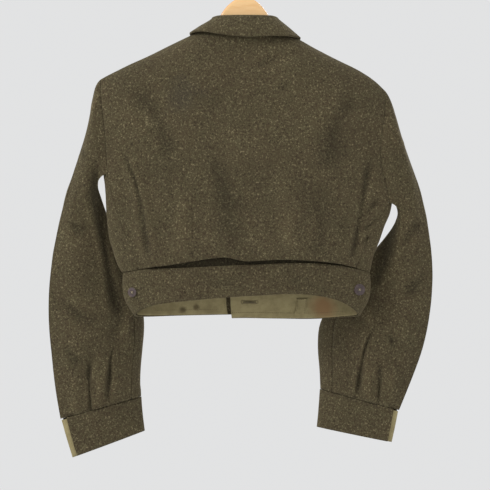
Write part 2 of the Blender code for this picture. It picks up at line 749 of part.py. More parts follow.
def sleeve_turns(side, share):
    """Turns of a sleeve's columns: the back half from the outer edge, then the front."""
    first, second = PLEAT_SHARES[side]
    seam = INNER_SEAM_SHARE[side]
    low_back = [0.0, first / 2.0, first - PLEAT_HALF, first, first + PLEAT_HALF,
                (first + second) / 2.0, second - PLEAT_HALF, second, second + PLEAT_HALF,
                lerp(second, seam, 0.42), lerp(second, seam, 0.72), seam]
    low_turns = [turn_at(value) for value in low_back]
    even = [ARMHOLE_SEAM_TURN * index / ARMHOLE_ROWS for index in range(ARMHOLE_ROWS + 1)]
    back = [lerp(even[index], low_turns[index], ease(share / 0.7))
            for index in range(ARMHOLE_ROWS + 1)]
    front = [lerp(back[-1], 2.0 * math.pi, index / ARMHOLE_ROWS)
             for index in range(1, ARMHOLE_ROWS)]
    return back + front


def sleeve_rings(side):
    """Rings of a sleeve; the first is the armhole, shared with the body."""
    table = sleeve_tables(side)
    back = [torso_point(*place) for place in back_edge(side)[:ARMHOLE_ROWS + 1]]
    front = [torso_point(*place) for place in front_edge(side)[:ARMHOLE_ROWS + 1]]
    armhole = back + front[-2:0:-1]
    start = [tube_point(table, 0.0, turn, SLEEVE_ROUND) for turn in sleeve_turns(side, 0.0)]
    rings = []
    for row in range(SLEEVE_ROWS):
        share = (row / (SLEEVE_ROWS - 1)) ** 1.15
        fade = 1.0 - ease(share / ARMHOLE_BLEND)
        ring = []
        for column, turn in enumerate(sleeve_turns(side, share)):
            point = tube_point(table, share, turn, SLEEVE_ROUND)
            point += (armhole[column] - start[column]) * fade
            if row:
                face = "back" if math.sin(turn) >= 0.0 else "front"
                height = fold_height(SLEEVE_FOLDS[side], face, point.x, point.z)
                point.y += height * math.sin(turn)
            ring.append(point)
        rings.append(ring)
    return rings


def ring_normals(rings, closed=True):
    """Outward normals of a tube that is given as rings."""
    rows, columns = len(rings), len(rings[0])
    normals = []
    for row in range(rows):
        centre = sum(rings[row], Vector()) / columns
        line = []
        for column in range(columns):
            if closed:
                before, after = (column - 1) % columns, (column + 1) % columns
            else:
                before, after = max(column - 1, 0), min(column + 1, columns - 1)
            across = rings[row][after] - rings[row][before]
            down = rings[min(row + 1, rows - 1)][column] - rings[max(row - 1, 0)][column]
            normal = across.cross(down).normalized()
            if normal.dot(rings[row][column] - centre) < 0.0:
                normal.negate()
            line.append(normal)
        normals.append(line)
    return normals


def mitre(first, second):
    """Shared direction of two walls at a seam, lengthened so that both keep their wall."""
    middle = (first + second).normalized()
    return middle / max(middle.dot(first), 0.75)


def sewn_panel(name, points, normals, sides, material):
    """Makes a panel whose two faces both stop half a seam gap before its seams.

    A side that is named twice stops a whole gap before its seam.
    """
    layers = [points, offset_grid(points, normals, -SERGE_WALL)]
    for index, layer in enumerate(layers):
        for side in sides:
            layer = trim_edges(layer, HALF_GAP, side)
        layers[index] = layer
    return wall_object(name, layers[0], layers[1], material)


def build_body(materials):
    """Builds the back, the fronts and the sleeves, which share their seams."""
    rings = {side: sleeve_rings(side) for side in (1, -1)}
    ring_directions = {side: ring_normals(rings[side]) for side in (1, -1)}
    back_points, back_normals = torso_panel(back_patch(), 1)
    fronts = {side: torso_panel(front_patch(side), side) for side in (1, -1)}
    last = len(back_points[0]) - 1

    for side in (1, -1):
        front_normals = fronts[side][1]
        column = last if side > 0 else 0
        for row in range(ARMHOLE_ROWS + 1):
            shared = mitre(back_normals[row][column], ring_directions[side][0][row])
            back_normals[row][column] = shared
            if row in (0, ARMHOLE_ROWS):
                ring_directions[side][0][row] = shared
                front_normals[row][0] = shared
                continue
            ring_directions[side][0][row] = shared
            place = 2 * ARMHOLE_ROWS - row
            shared = mitre(front_normals[row][0], ring_directions[side][0][place])
            front_normals[row][0] = shared
            ring_directions[side][0][place] = shared
        for row in range(ARMHOLE_ROWS + 1, len(back_points)):
            shared = mitre(back_normals[row][column], front_normals[row][0])
            back_normals[row][column] = shared
            front_normals[row][0] = shared
        for index in range(1, SHOULDER_COLUMNS + 1):
            back_column = last - index if side > 0 else index
            shared = mitre(back_normals[0][back_column], front_normals[0][index])
            back_normals[0][back_column] = shared
            front_normals[0][index] = shared

    serge = materials["wool_serge"]
    sewn_panel("back_panel", back_points, back_normals, "tblr", serge)
    for side, name in ((1, "left"), (-1, "right")):
        sewn_panel("front_" + name, *fronts[side], "tblr", serge)
        whole = [ring + ring[:1] for ring in rings[side]]
        directions = [line + line[:1] for line in ring_directions[side]]
        halves = (("back", slice(0, ARMHOLE_ROWS + 1)),
                  ("front", slice(ARMHOLE_ROWS, 2 * ARMHOLE_ROWS + 1)))
        for half, part in halves:
            sewn_panel("sleeve_%s_%s" % (name, half), [ring[part] for ring in whole],
                       [line[part] for line in directions], "ttbllrr", serge)


def band_height(angle, share, side):
    degrees = abs(math.degrees(angle))
    degrees = 360.0 - degrees if degrees > 180.0 else degrees
    columns = ("top_left", "low_left") if side > 0 else ("top_right", "low_right")
    top, low = (read_row(BAND_EDGES, "angle", column, degrees) for column in columns)
    return lerp(top, low, share)


def band_surface(side_band):
    """Outer surface of the waistband; the ends past the middle keep their own side."""
    def point(angle, share):
        across, along = math.sin(angle), math.cos(angle)
        is_back = along >= 0.0
        power = 2.0 / (BACK_ROUND if is_back else FRONT_ROUND)
        side = side_of(across)
        column = "half_left" if side > 0 else "half_right"
        x = read_row(BAND_ROWS, "share", column, share) * signed_power(across, power)
        column = "depth_back" if is_back else "depth_front"
        depth = read_row(BAND_ROWS, "share", column, share) * abs(along) ** power
        z = band_height(angle, share, side_band if not is_back and side_band else side)
        return Vector((x, depth if is_back else -depth, z))
    return point


def band_grid(surface, angles, shares, inset):
    points, normals = [], []
    for share in shares:
        points.append([surface(angle, share) for angle in angles])
        normals.append([surface_normal(surface, angle, share, math.radians(0.5), 0.01)
                        for angle in angles])
    return offset_grid(points, normals, -inset), normals


def even_shares(count, low=0.0, high=1.0):
    return [lerp(low, high, index / (count - 1)) for index in range(count)]


def band_front_angle(x, side):
    """Angle of the waistband's front at a distance across, counted from its own side."""
    half = read_row(BAND_ROWS, "share", "half_left" if x >= 0.0 else "half_right", 0.5)
    angle = side_of(x) * (math.pi - math.asin((abs(x) / half) ** (FRONT_ROUND / 2.0)))
    return wrap_front(angle, side)


def band_back_angle(x, side):
    half = read_row(BAND_ROWS, "share", "half_left" if x >= 0.0 else "half_right", 0.5)
    return side_of(x) * math.asin(clamp((abs(x) / half) ** (BACK_ROUND / 2.0)))


def build_band(materials):
    serge, drill = materials["wool_serge"], materials["khaki_drill"]
    half_gap = SEAM_GAP / 2.0
    side_angle = math.radians(BAND_SIDE_ANGLE)
    shares = even_shares(BAND_ROW_COUNT)

    surface = band_surface(0)
    angles = [lerp(-side_angle, side_angle, value)
              for value in even_shares(BAND_COLUMNS_BACK)]
    points, normals = band_grid(surface, angles, shares, 0.0)
    points = trim_edges(points, half_gap)
    wall_object("band_back", points, offset_grid(points, normals, -BAND_WALL), serge)

    for side, name, lap in ((1, "left", LEFT_LAP), (-1, "right", RIGHT_LAP)):
        surface = band_surface(side)
        end = band_front_angle(lap, side)
        angles = [lerp(side * side_angle, end, value)
                  for value in even_shares(BAND_COLUMNS_FRONT)]
        points, normals = band_grid(surface, angles, shares, 0.0)
        if side < 0:
            step = BAND_WALL + DRILL_WALL + LAYER_GAP + FACING_GAP
            points = [[point - normal * step * ease((point.x + BAND_STEP_START) / LAP_RAMP)
                       for point, normal in zip(*lines)] for lines in zip(points, normals)]
        points = trim_edges(points, half_gap)
        wall_object("band_front_" + name, points,
                    offset_grid(points, normals, -BAND_WALL), serge)

        facing_end = band_front_angle(FACING_LEFT_END, side) if side > 0 else end
        start = side * math.radians(FACING_SIDE_ANGLE)
        angles = [lerp(start, facing_end, value)
                  for value in even_shares(BAND_COLUMNS_FRONT)]
        rows = even_shares(BAND_ROW_COUNT, 0.05, FACING_LOW)
        points, normals = band_grid(surface, angles, rows, 0.0)
        step = BAND_WALL + DRILL_WALL + LAYER_GAP + FACING_GAP if side < 0 else 0.0
        points = [[point - normal * (BAND_WALL + FACING_GAP
                                     + step * ease((point.x + BAND_STEP_START) / LAP_RAMP))
                   for point, normal in zip(*lines)] for lines in zip(points, normals)]
        wall_object("band_facing_" + name, points,
                    offset_grid(points, normals, -DRILL_WALL), drill)


def build_inner_strip(materials):
    """The wool strip that closes the slit between the back's hem and the waistband."""
    surface = band_surface(0)
    outer, inner = [], []
    inset = BAND_WALL + LAYER_GAP
    for value in even_shares(25):
        angle = lerp(band_back_angle(STRIP_RIGHT, -1), band_back_angle(STRIP_LEFT, 1), value)
        top = surface(angle, 0.0)
        normal = surface_normal(surface, angle, 0.0, math.radians(0.5), 0.02)
        flat = Vector((normal.x, normal.y, 0.0)).normalized()
        up = Vector((0.0, 0.0, 1.0))
        outer.append([top - flat * (inset + 1.2) + up * STRIP_TOP,
                      top - flat * (inset + 0.5) + up * STRIP_TOP * 0.4,
                      top - flat * inset - up * STRIP_LOW])
        inner.append([point - flat * SERGE_WALL for point in outer[-1]])
    wall_object("back_inner_strip", outer, inner, materials["wool_serge"])


def build_strap(materials):
    """The small stitched strap on the inside of the right front waistband."""
    surface = band_surface(-1)
    outer, inner = [], []
    lift = BAND_WALL + FACING_GAP + DRILL_WALL + LAYER_GAP
    for share in even_shares(3, STRAP_TOP, STRAP_LOW):
        x_left = STRAP_LEFT - STRAP_LEAN * share
        x_right = x_left - STRAP_WIDE
        line = []
        for value in even_shares(4):
            angle = band_front_angle(lerp(x_left, x_right, value), -1)
            point = surface(angle, share)
            normal = surface_normal(surface, angle, share, math.radians(0.5), 0.01)
            line.append((point - normal * lift, normal))
        outer.append([point for point, normal in line])
        inner.append([point - normal * STRAP_WALL for point, normal in line])
    wall_object("band_strap", outer, inner, materials["khaki_drill"])


def build_cuffs(materials):
    for side, name, table in ((1, "left", CUFF_LEFT), (-1, "right", CUFF_RIGHT)):
        start = turn_at(CUFF_BACK_END[side])
        end = 2.0 * math.pi - turn_at(CUFF_FRONT_END)
        turns = [lerp(start, end, value) for value in even_shares(CUFF_COLUMNS)]
        grid = [[tube_point(table, share, turn, SLEEVE_ROUND) for turn in turns]
                for share in even_shares(CUFF_ROWS)]
        normals = ring_normals(grid, closed=False)
        wall_object("cuff_" + name, grid, offset_grid(grid, normals, -BAND_WALL),
                    materials["wool_serge"])

        reach = turn_at(CUFF_FACING_REACH)
        turns = [lerp(-reach, reach, value) for value in even_shares(13)]
        shares = even_shares(CUFF_ROWS, 0.02, 0.985)
        lining = [row._replace(outer_x=row.outer_x - side * CUFF_FACING_IN,
                               half=row.half - BAND_WALL - CUFF_FACING_GAP)
                  for row in table]
        grid = [[tube_point(lining, share, turn, SLEEVE_ROUND) for turn in turns]
                for share in shares]
        normals = ring_normals(grid, closed=False)
        wall_object("cuff_facing_" + name, grid, offset_grid(grid, normals, -DRILL_WALL),
                    materials["khaki_drill"])


def build_collar(materials):
    centre_line = []
    for value in even_shares(COLLAR_COLUMNS, -1.0, 1.0):
        degrees = abs(value) * COLLAR_END_ANGLE
        side = side_of(value)
        read = {column: read_row(COLLAR_ROWS, "angle", column, degrees)
                for column in CollarRow._fields}
        turn = math.radians(degrees)
        x = NECK_HALF * math.sin(turn)
        is_back = math.cos(turn) >= 0.0
        depth = NECK_DEPTH_BACK if is_back else -NECK_DEPTH_FRONT
        seam_y = depth * (1.0 - math.sin(turn) ** NECK_ROUND)
        seam = Vector((side * x, seam_y, top_height(side * x, is_back) + COLLAR_RISE))
        fold = Vector((side * read["fold_x"], read["fold_y"], read["fold_z"]))
        edge_z = read["left_z"] if side > 0 else read["right_z"]
        edge = Vector((side * read["edge_x"], read["edge_y"], edge_z))
        out = Vector((side * math.sin(turn), math.cos(turn), 0.0)).normalized()
        up = Vector((0.0, 0.0, 1.0))
        rising = (fold - out * COLLAR_TURN) - seam
        line = [seam, seam + rising * 0.5]
        for arc in even_shares(5, 180.0, 0.0):
            place = math.radians(arc)
            line.append(fold + (out * math.cos(place) + up * math.sin(place)) * COLLAR_TURN)
        start = line[-1]
        line += [lerp(start, edge, 0.35) + out * 1.2, lerp(start, edge, 0.7) + out * 0.8, edge]
        centre_line.append(line)
    rows, columns = len(centre_line), len(centre_line[0])
    outer, inner = [], []
    for row in range(rows):
        outer.append([])
        inner.append([])
        for column in range(columns):
            along = (centre_line[min(row + 1, rows - 1)][column]
                     - centre_line[max(row - 1, 0)][column])
            down = (centre_line[row][min(column + 1, columns - 1)]
                    - centre_line[row][max(column - 1, 0)])
            normal = down.cross(along).normalized()
            outer[-1].append(centre_line[row][column] + normal * COLLAR_WALL / 2.0)
            inner[-1].append(centre_line[row][column] - normal * COLLAR_WALL / 2.0)
    wall_object("collar", outer, inner, materials["wool_serge"])


def build_button(name, place, normal, material):
    """A dished button with four holes, whose back lies on the cloth."""
    profile = ((0.0, 1.5), (5.2, 1.5), (7.6, BUTTON_THICK), (BUTTON_RADIUS, 2.4),
               (7.6, 0.0), (0.0, 0.0))
    shape = bmesh.new()
    points = [shape.verts.new((radius, 0.0, height)) for radius, height in profile]
    edges = [shape.edges.new(pair) for pair in zip(points, points[1:])]
    bmesh.ops.spin(shape, geom=points + edges, cent=(0, 0, 0), axis=(0, 0, 1),
                   angle=math.tau, steps=14, use_duplicate=False)
    bmesh.ops.remove_doubles(shape, verts=shape.verts, dist=0.001)
    bmesh.ops.recalc_face_normals(shape, faces=shape.faces)
    mesh = bpy.data.meshes.new(name)
    shape.to_mesh(mesh)
    shape.free()
    button = bpy.data.objects.new(name, mesh)
    bpy.context.collection.objects.link(button)
    turn = Vector((0.0, 0.0, 1.0)).rotation_difference(normal).to_matrix().to_4x4()
    mesh.transform(turn)
    for point in mesh.vertices:
        point.co = (point.co + place) * MM
    cutters = bmesh.new()
    for corner in range(4):
        angle = math.radians(45.0 + 90.0 * corner)
        middle = Vector((math.cos(angle), math.sin(angle), 0.0)) * BUTTON_HOLE_OFFSET
        made = bmesh.ops.create_cone(cutters, cap_ends=True, segments=6, depth=12.0,
                                     radius1=BUTTON_HOLE, radius2=BUTTON_HOLE)
        bmesh.ops.translate(cutters, verts=made["verts"], vec=middle)
    cutter_mesh = bpy.data.meshes.new(name + "_holes")
    cutters.to_mesh(cutter_mesh)
    cutters.free()
    cutter_mesh.transform(turn)
    for point in cutter_mesh.vertices:
        point.co = (point.co + place) * MM
    cutter = bpy.data.objects.new(name + "_holes", cutter_mesh)
    cutter.hide_render = True
    cutter.display_type = "WIRE"
    bpy.context.collection.objects.link(cutter)
    cut = button.modifiers.new("holes", "BOOLEAN")
    cut.operation = "DIFFERENCE"
    cut.object = cutter
    mesh.shade_smooth()
    mesh.set_sharp_from_angle(angle=math.radians(35.0))
    mesh.materials.append(material)
    return button


def build_buttons(materials):
    plastic = materials["button_plastic"]
    surface = band_surface(0)
    for side, name in ((1, "left"), (-1, "right")):
        x, share = BAND_BUTTON[side]
        angle = band_back_angle(x, side)
        normal = surface_normal(surface, angle, share, math.radians(0.5), 0.01)
        place = surface(angle, share) + normal * BAND_BUTTON_RISE
        build_button("band_button_" + name, place, normal, plastic)

        table = CUFF_LEFT if side > 0 else CUFF_RIGHT
        turn = -turn_at(CUFF_BUTTON_SHARE)
        place = tube_point(table, 0.5, turn, SLEEVE_ROUND)
        across = (tube_point(table, 0.5, turn + 0.05, SLEEVE_ROUND)
                  - tube_point(table, 0.5, turn - 0.05, SLEEVE_ROUND))
        down = (tube_point(table, 0.6, turn, SLEEVE_ROUND)
                - tube_point(table, 0.4, turn, SLEEVE_ROUND))
        normal = across.cross(down).normalized()
        if normal.y > 0.0:
            normal.negate()
        place = place + normal * CUFF_BUTTON_RISE
        build_button("cuff_button_" + name, place, normal, plastic)


def hanger_top(x):
    """Height of the hanger's top edge: its crown, then the arms under the shoulders."""
    out = abs(x)
    if out >= NECK_HALF:
        return shoulder_height(x) - HANGER_BELOW_RIDGE
    tilt = CROWN_RIGHT_DROP * ease(out / NECK_HALF) if x < 0.0 else 0.0
    return read_row(CROWN_ROWS, "out", "height", out) - tilt


def build_hanger(materials):
    top = []
    for x in even_shares(41, -HANGER_END, HANGER_END):
        top.append(Vector((x, 0.0, hanger_top(x))))
    low = []
    for x in even_shares(17, HANGER_END, -HANGER_END):
        fall = HANGER_DEEP * (1.0 - 0.45 * (abs(x) / HANGER_END) ** 2)
        arch = 16.0 * math.exp(-(x / 60.0) ** 2)
        base = shoulder_height(math.copysign(max(abs(x), NECK_HALF), x))
        low.append(Vector((x, 0.0, base - HANGER_BELOW_RIDGE - fall + arch)))
    outline = top + low
    shape = bmesh.new()
    half = HANGER_THICK / 2.0
    front = [shape.verts.new((point + Vector((0.0, -half, 0.0))) * MM) for point in outline]
    face = shape.faces.new(front)
    made = bmesh.ops.extrude_face_region(shape, geom=[face])
    moved = [item for item in made["geom"] if isinstance(item, bmesh.types.BMVert)]
    bmesh.ops.translate(shape, verts=moved, vec=(0.0, HANGER_THICK * MM, 0.0))
    mesh = bpy.data.meshes.new("hanger_body")
    bmesh.ops.recalc_face_normals(shape, faces=shape.faces)
    shape.to_mesh(mesh)
    shape.free()
    body = finish_object("hanger_body", mesh, materials["hanger_wood"])
    edge = body.modifiers.new("rounded_edges", "BEVEL")
    edge.width = HANGER_EDGE * MM
    edge.segments = 2
    edge.limit_method = "ANGLE"
    edge.angle_limit = math.radians(60.0)

    radius = HOOK_INNER + HOOK_WIRE
    middle = -HOOK_INNER
    stem_low = CROWN_TOP + SEAM_GAP
    stem_high = middle - radius
    route = [Vector((0.0, 0.0, lerp(stem_low, stem_high, third / 3.0)))
             for third in range(3)]
    for degrees in even_shares(25, HOOK_START, HOOK_END):
        angle = math.radians(degrees)
        route.append(Vector((radius * math.cos(angle), 0.0,
                             middle + radius * math.sin(angle))))
    curve = bpy.data.curves.new("hanger_hook", "CURVE")
    curve.dimensions = "3D"
    curve.bevel_depth = HOOK_WIRE * MM
    curve.bevel_resolution = 2
    curve.use_fill_caps = True
    spline = curve.splines.new("POLY")
    spline.points.add(len(route) - 1)
    for point, place in zip(spline.points, route):
        point.co = (*(place * MM), 1.0)
    curve.materials.append(materials["hook_steel"])
    hook = bpy.data.objects.new("hanger_hook", curve)
    bpy.context.collection.objects.link(hook)


def main():
    for item in list(bpy.data.objects):
        bpy.data.objects.remove(item, do_unlink=True)
    materials = {name: make_material(name) for name in FINISHES}
    build_body(materials)
    build_band(materials)
    build_inner_strip(materials)
    build_strap(materials)
    build_cuffs(materials)
    build_collar(materials)
    build_buttons(materials)
    build_hanger(materials)


main()
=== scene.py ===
"""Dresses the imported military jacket: its cloth, sewing, buttons, hanger, light and camera.

The front faces -Y and the back +Y, so the camera stands behind the jacket. Places that are
seen from behind are given as (x, z) in millimetres, and everything else is in metres.
"""
import json
import logging
import math
from dataclasses import dataclass, field
from enum import Enum
from typing import Callable, Iterable, Sequence

import bmesh
import bpy
import numpy as np
from mathutils import Matrix, Vector, noise
from mathutils.bvhtree import BVHTree

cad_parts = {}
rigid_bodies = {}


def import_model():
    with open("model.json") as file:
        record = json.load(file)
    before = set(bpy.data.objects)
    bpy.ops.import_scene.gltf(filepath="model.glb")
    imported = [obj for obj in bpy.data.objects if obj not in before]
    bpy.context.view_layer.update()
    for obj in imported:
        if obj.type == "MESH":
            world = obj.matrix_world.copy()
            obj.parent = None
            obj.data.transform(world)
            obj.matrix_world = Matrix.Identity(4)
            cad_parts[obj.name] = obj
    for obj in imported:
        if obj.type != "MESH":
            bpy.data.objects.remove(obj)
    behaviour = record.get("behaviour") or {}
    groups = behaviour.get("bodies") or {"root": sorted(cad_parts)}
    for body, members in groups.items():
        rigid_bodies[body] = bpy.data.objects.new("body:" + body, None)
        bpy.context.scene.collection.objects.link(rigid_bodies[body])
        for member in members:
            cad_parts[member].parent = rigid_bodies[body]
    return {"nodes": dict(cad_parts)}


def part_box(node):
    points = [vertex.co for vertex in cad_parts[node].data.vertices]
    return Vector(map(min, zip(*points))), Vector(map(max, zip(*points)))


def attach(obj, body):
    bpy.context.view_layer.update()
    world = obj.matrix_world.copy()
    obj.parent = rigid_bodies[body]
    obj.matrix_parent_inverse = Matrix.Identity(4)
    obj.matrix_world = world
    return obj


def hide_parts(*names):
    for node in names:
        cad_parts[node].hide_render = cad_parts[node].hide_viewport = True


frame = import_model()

LOG = logging.getLogger("jacket")
MM = 0.001
BODY = "root"
CREASE_GAIN = 1.45

Pair = tuple[float, float]
Colour = tuple[float, float, float]


class Slot(Enum):
    """Material slots of the record."""

    SERGE = "wool_serge"
    DRILL = "khaki_drill"
    PLASTIC = "button_plastic"
    WOOD = "hanger_wood"
    STEEL = "hook_steel"


class Face(Enum):
    """Sides that a ray comes from: behind the jacket, before it, or inside its front."""

    BACK = (0.4, -1.0)
    FRONT = (-0.4, 1.0)
    INSIDE_FRONT = (0.0, -1.0)


def display(red: float, green: float, blue: float) -> Colour:
    """Turns a 0 to 255 display colour into Blender's linear colour.

    Args:
        red: Red as the screen shows it.
        green: Green as the screen shows it.
        blue: Blue as the screen shows it.

    Returns:
        The linear colour.
    """
    def linear(value: float) -> float:
        """Turns one channel linear."""
        share = value / 255.0
        return share / 12.92 if share <= 0.04045 else ((share + 0.055) / 1.055) ** 2.4

    return linear(red), linear(green), linear(blue)


def smooth(share: np.ndarray) -> np.ndarray:
    """Eases an array from 0 to 1."""
    share = np.clip(share, 0.0, 1.0)
    return share * share * (3.0 - 2.0 * share)


class Tree:
    """Builds a material's nodes in few words."""

    def __init__(self, name: str) -> None:
        """Makes a new material with its Principled shader.

        Args:
            name: Name of the material.
        """
        self.material = bpy.data.materials.new(name)
        self.material.use_nodes = True
        self.nodes = self.material.node_tree.nodes
        self.links = self.material.node_tree.links
        self.shader = self.nodes["Principled BSDF"]
        coordinate = self.nodes.new("ShaderNodeTexCoord")
        self.place = coordinate.outputs["Object"]
        self.normal = coordinate.outputs["Normal"]

    def add(self, kind: str, inputs: dict | None = None, **settings: object) -> bpy.types.Node:
        """Adds a node.

        Args:
            kind: Blender's name for the node's type.
            inputs: Values or links of its input sockets, by name or number.
            settings: Its properties.

        Returns:
            The node.
        """
        node = self.nodes.new(kind)
        for key, value in settings.items():
            setattr(node, key, value)
        for key, value in (inputs or {}).items():
            if isinstance(value, bpy.types.NodeSocket):
                self.links.new(value, node.inputs[key])
            else:
                node.inputs[key].default_value = value
        return node

    def spots(self, scale: float, detail: float = 3.0, rough: float = 0.6,
              place: bpy.types.NodeSocket | None = None) -> bpy.types.NodeSocket:
        """Adds a noise texture.

        Args:
            scale: Number of spots in a metre.
            detail: Finer layers in it.
            rough: Strength of the finer layers.
            place: Coordinates, or the object's own if there are none.

        Returns:
            Its value, about 0.5 on average.
        """
        node = self.add("ShaderNodeTexNoise", {
            "Vector": place or self.place, "Scale": scale, "Detail": detail,
            "Roughness": rough})
        return node.outputs["Fac"]

    def ramp(self, value: bpy.types.NodeSocket,
             stops: Sequence[tuple[float, Colour]]) -> bpy.types.NodeSocket:
        """Adds a colour ramp.

        Args:
            value: What it reads.
            stops: Places and colours, in order.

        Returns:
            The colour.
        """
        node = self.add("ShaderNodeValToRGB", {"Fac": value})
        marks = node.color_ramp.elements
        while len(marks) < len(stops):
            marks.new(0.5)
        for mark, (place, colour) in zip(marks, stops):
            mark.position = place
            mark.color = (*colour, 1.0)
        return node.outputs["Color"]

    def level(self, value: bpy.types.NodeSocket, low: float, high: float,
              start: float = 0.0, end: float = 1.0) -> bpy.types.NodeSocket:
        """Stretches a value between two limits.

        Args:
            value: What it reads.
            low: Value that gives start.
            high: Value that gives end.
            start: Result at low.
            end: Result at high.

        Returns:
            The stretched value.
        """
        node = self.add("ShaderNodeMapRange", {
            "Value": value, "From Min": low, "From Max": high, "To Min": start, "To Max": end})
        return node.outputs["Result"]

    def blend(self, share: bpy.types.NodeSocket | float, first: object, second: object,
              kind: str = "MIX") -> bpy.types.NodeSocket:
        """Mixes two colours.

        Args:
            share: Share of the second.
            first: A colour or a link.
            second: A colour or a link.
            kind: Blender's name for the way of mixing.

        Returns:
            The mixed colour.
        """
        node = self.add("ShaderNodeMix", data_type="RGBA", blend_type=kind)
        for socket, value in ((node.inputs[0], share), (node.inputs[6], first),
                              (node.inputs[7], second)):
            if isinstance(value, bpy.types.NodeSocket):
                self.links.new(value, socket)
            elif isinstance(value, float):
                socket.default_value = value
            else:
                socket.default_value = (*value, 1.0)
        return node.outputs[2]

    def turned(self, degrees: tuple[float, float, float],
               scale: tuple[float, float, float] = (1.0, 1.0, 1.0)) -> bpy.types.NodeSocket:
        """Turns and stretches the object's coordinates.

        Args:
            degrees: Turn about each axis.
            scale: Stretch along each axis.

        Returns:
            The coordinates.
        """
        node = self.add("ShaderNodeMapping", {
            "Vector": self.place, "Rotation": tuple(math.radians(d) for d in degrees),
            "Scale": scale})
        return node.outputs["Vector"]

    def ribs(self, pitch: float, degrees: tuple[float, float, float],
             waver: float = 1.0) -> bpy.types.NodeSocket:
        """Adds even ribs, such as a twill's.

        Args:
            pitch: Distance between two ribs, in metres.
            degrees: Turn of the ribs' coordinates.
            waver: How much the ribs wander.

        Returns:
            Their height, from 0 to 1.
        """
        node = self.add("ShaderNodeTexWave", {
            "Vector": self.turned(degrees), "Scale": math.tau / 20.0 / pitch,
            "Distortion": waver, "Detail": 1.0})
        return node.outputs["Fac"]

    def patch(self, middle: tuple[float, float, float], radius: float,
              uneven: float = 0.35) -> bpy.types.NodeSocket:
        """Makes the mask of one soft, uneven patch.

        Args:
            middle: Its middle, in metres.
            radius: Its radius.
            uneven: How ragged its edge is.

        Returns:
            1 in the middle and 0 outside.
        """
        off = self.add("ShaderNodeVectorMath", {0: self.place, 1: middle}, operation="DISTANCE")
        ragged = self.level(self.spots(1.2 / radius), 0.2, 0.8, 1.0 - uneven, 1.0 + uneven)
        worn = self.add("ShaderNodeMath", {0: off.outputs["Value"], 1: ragged},
                        operation="MULTIPLY")
        return self.level(worn.outputs[0], radius, radius * 0.35)

    def bump(self, layers: Iterable[tuple[bpy.types.NodeSocket, float]]) -> None:
        """Gives the shader a relief.

        Args:
            layers: Heights and their depths in metres.
        """
        normal = None
        for height, depth in layers:
            inputs: dict = {"Height": height, "Distance": depth, "Strength": 1.0}
            if normal is not None:
                inputs["Normal"] = normal
            normal = self.add("ShaderNodeBump", inputs).outputs["Normal"]
        self.links.new(normal, self.shader.inputs["Normal"])

    def finish(self, colour: bpy.types.NodeSocket, rough: bpy.types.NodeSocket | float,
               **fixed: object) -> bpy.types.Material:
        """Connects the shader.

        Args:
            colour: The base colour.
            rough: The roughness.
            fixed: Other sockets, with words joined by underscores.

        Returns:
            The material.
        """
        self.links.new(colour, self.shader.inputs["Base Color"])
        if isinstance(rough, float):
            self.shader.inputs["Roughness"].default_value = rough
        else:
            self.links.new(rough, self.shader.inputs["Roughness"])
        for key, value in fixed.items():
            self.shader.inputs[key.replace("_", " ")].default_value = value
        return self.material


@dataclass(frozen=True)
class SergeFinish:
    """Heathered wool serge: brown and olive fibres in a fine twill with a short nap, with
    painted shade in its crease troughs and painted light on their ridges.
    """

    name: str = "wool_serge_cloth"
    dark: Colour = display(38, 32, 22)
    brown: Colour = display(80, 67, 49)
    olive: Colour = display(72, 69, 47)
    pale: Colour = display(142, 128, 98)
    # shade scales the whole colour; the copy with shade below 1 is darkened as painted shadow.
    shade: float = 1.0
    twill_pitch: float = 0.0011
    stain: tuple[float, float, float] = (0.104, 0.046, -0.223)
    stain_radius: float = 0.036
    stain_colour: Colour = display(62, 60, 54)

    def build(self) -> bpy.types.Material:
        """Makes the material."""
        tree = Tree(self.name)
        fibres = tree.ramp(tree.spots(330.0, 3.0, 0.8), (
            (0.36, self.dark), (0.46, self.brown), (0.55, self.olive), (0.68, self.pale)))
        cloudy = tree.level(tree.spots(17.0, 4.0), 0.36, 0.64)
        tinted = tree.blend(0.15, fibres, tree.blend(cloudy, self.brown, self.olive))
        worn = tree.level(tree.spots(7.0, 3.0), 0.3, 0.7, 0.90, 1.10)
        # Painted shade and light: the relief attribute darkens the colour in crease troughs and
        # lightens it on ridges, multiplied with the random worn tone.
        relief = tree.add("ShaderNodeAttribute", attribute_name="relief").outputs["Fac"]
        lit = tree.level(relief, -1.0, 1.0, 0.52 * self.shade, 1.34 * self.shade)
        tone = tree.add("ShaderNodeMath", {0: worn, 1: lit}, operation="MULTIPLY").outputs[0]
        toned = tree.blend(1.0, tinted, tone, "MULTIPLY")
        stain = tree.patch(self.stain, self.stain_radius, 0.6)
        faint = tree.add("ShaderNodeMath", {0: stain, 1: 0.28}, operation="MULTIPLY").outputs[0]
        colour = tree.blend(faint, toned, self.stain_colour)
        tree.bump(((tree.spots(260.0, 3.0), 0.0009), (tree.spots(1300.0, 3.0), 0.0005),
                   (tree.ribs(self.twill_pitch, (0.0, 52.0, 0.0), 2.5), 0.00022)))
        return tree.finish(colour, tree.level(tree.spots(90.0), 0.3, 0.7, 0.90, 1.0),
                           Sheen_Weight=0.30, Sheen_Roughness=0.55,
                           Sheen_Tint=(*display(190, 176, 140), 1.0), Specular_IOR_Level=0.2)


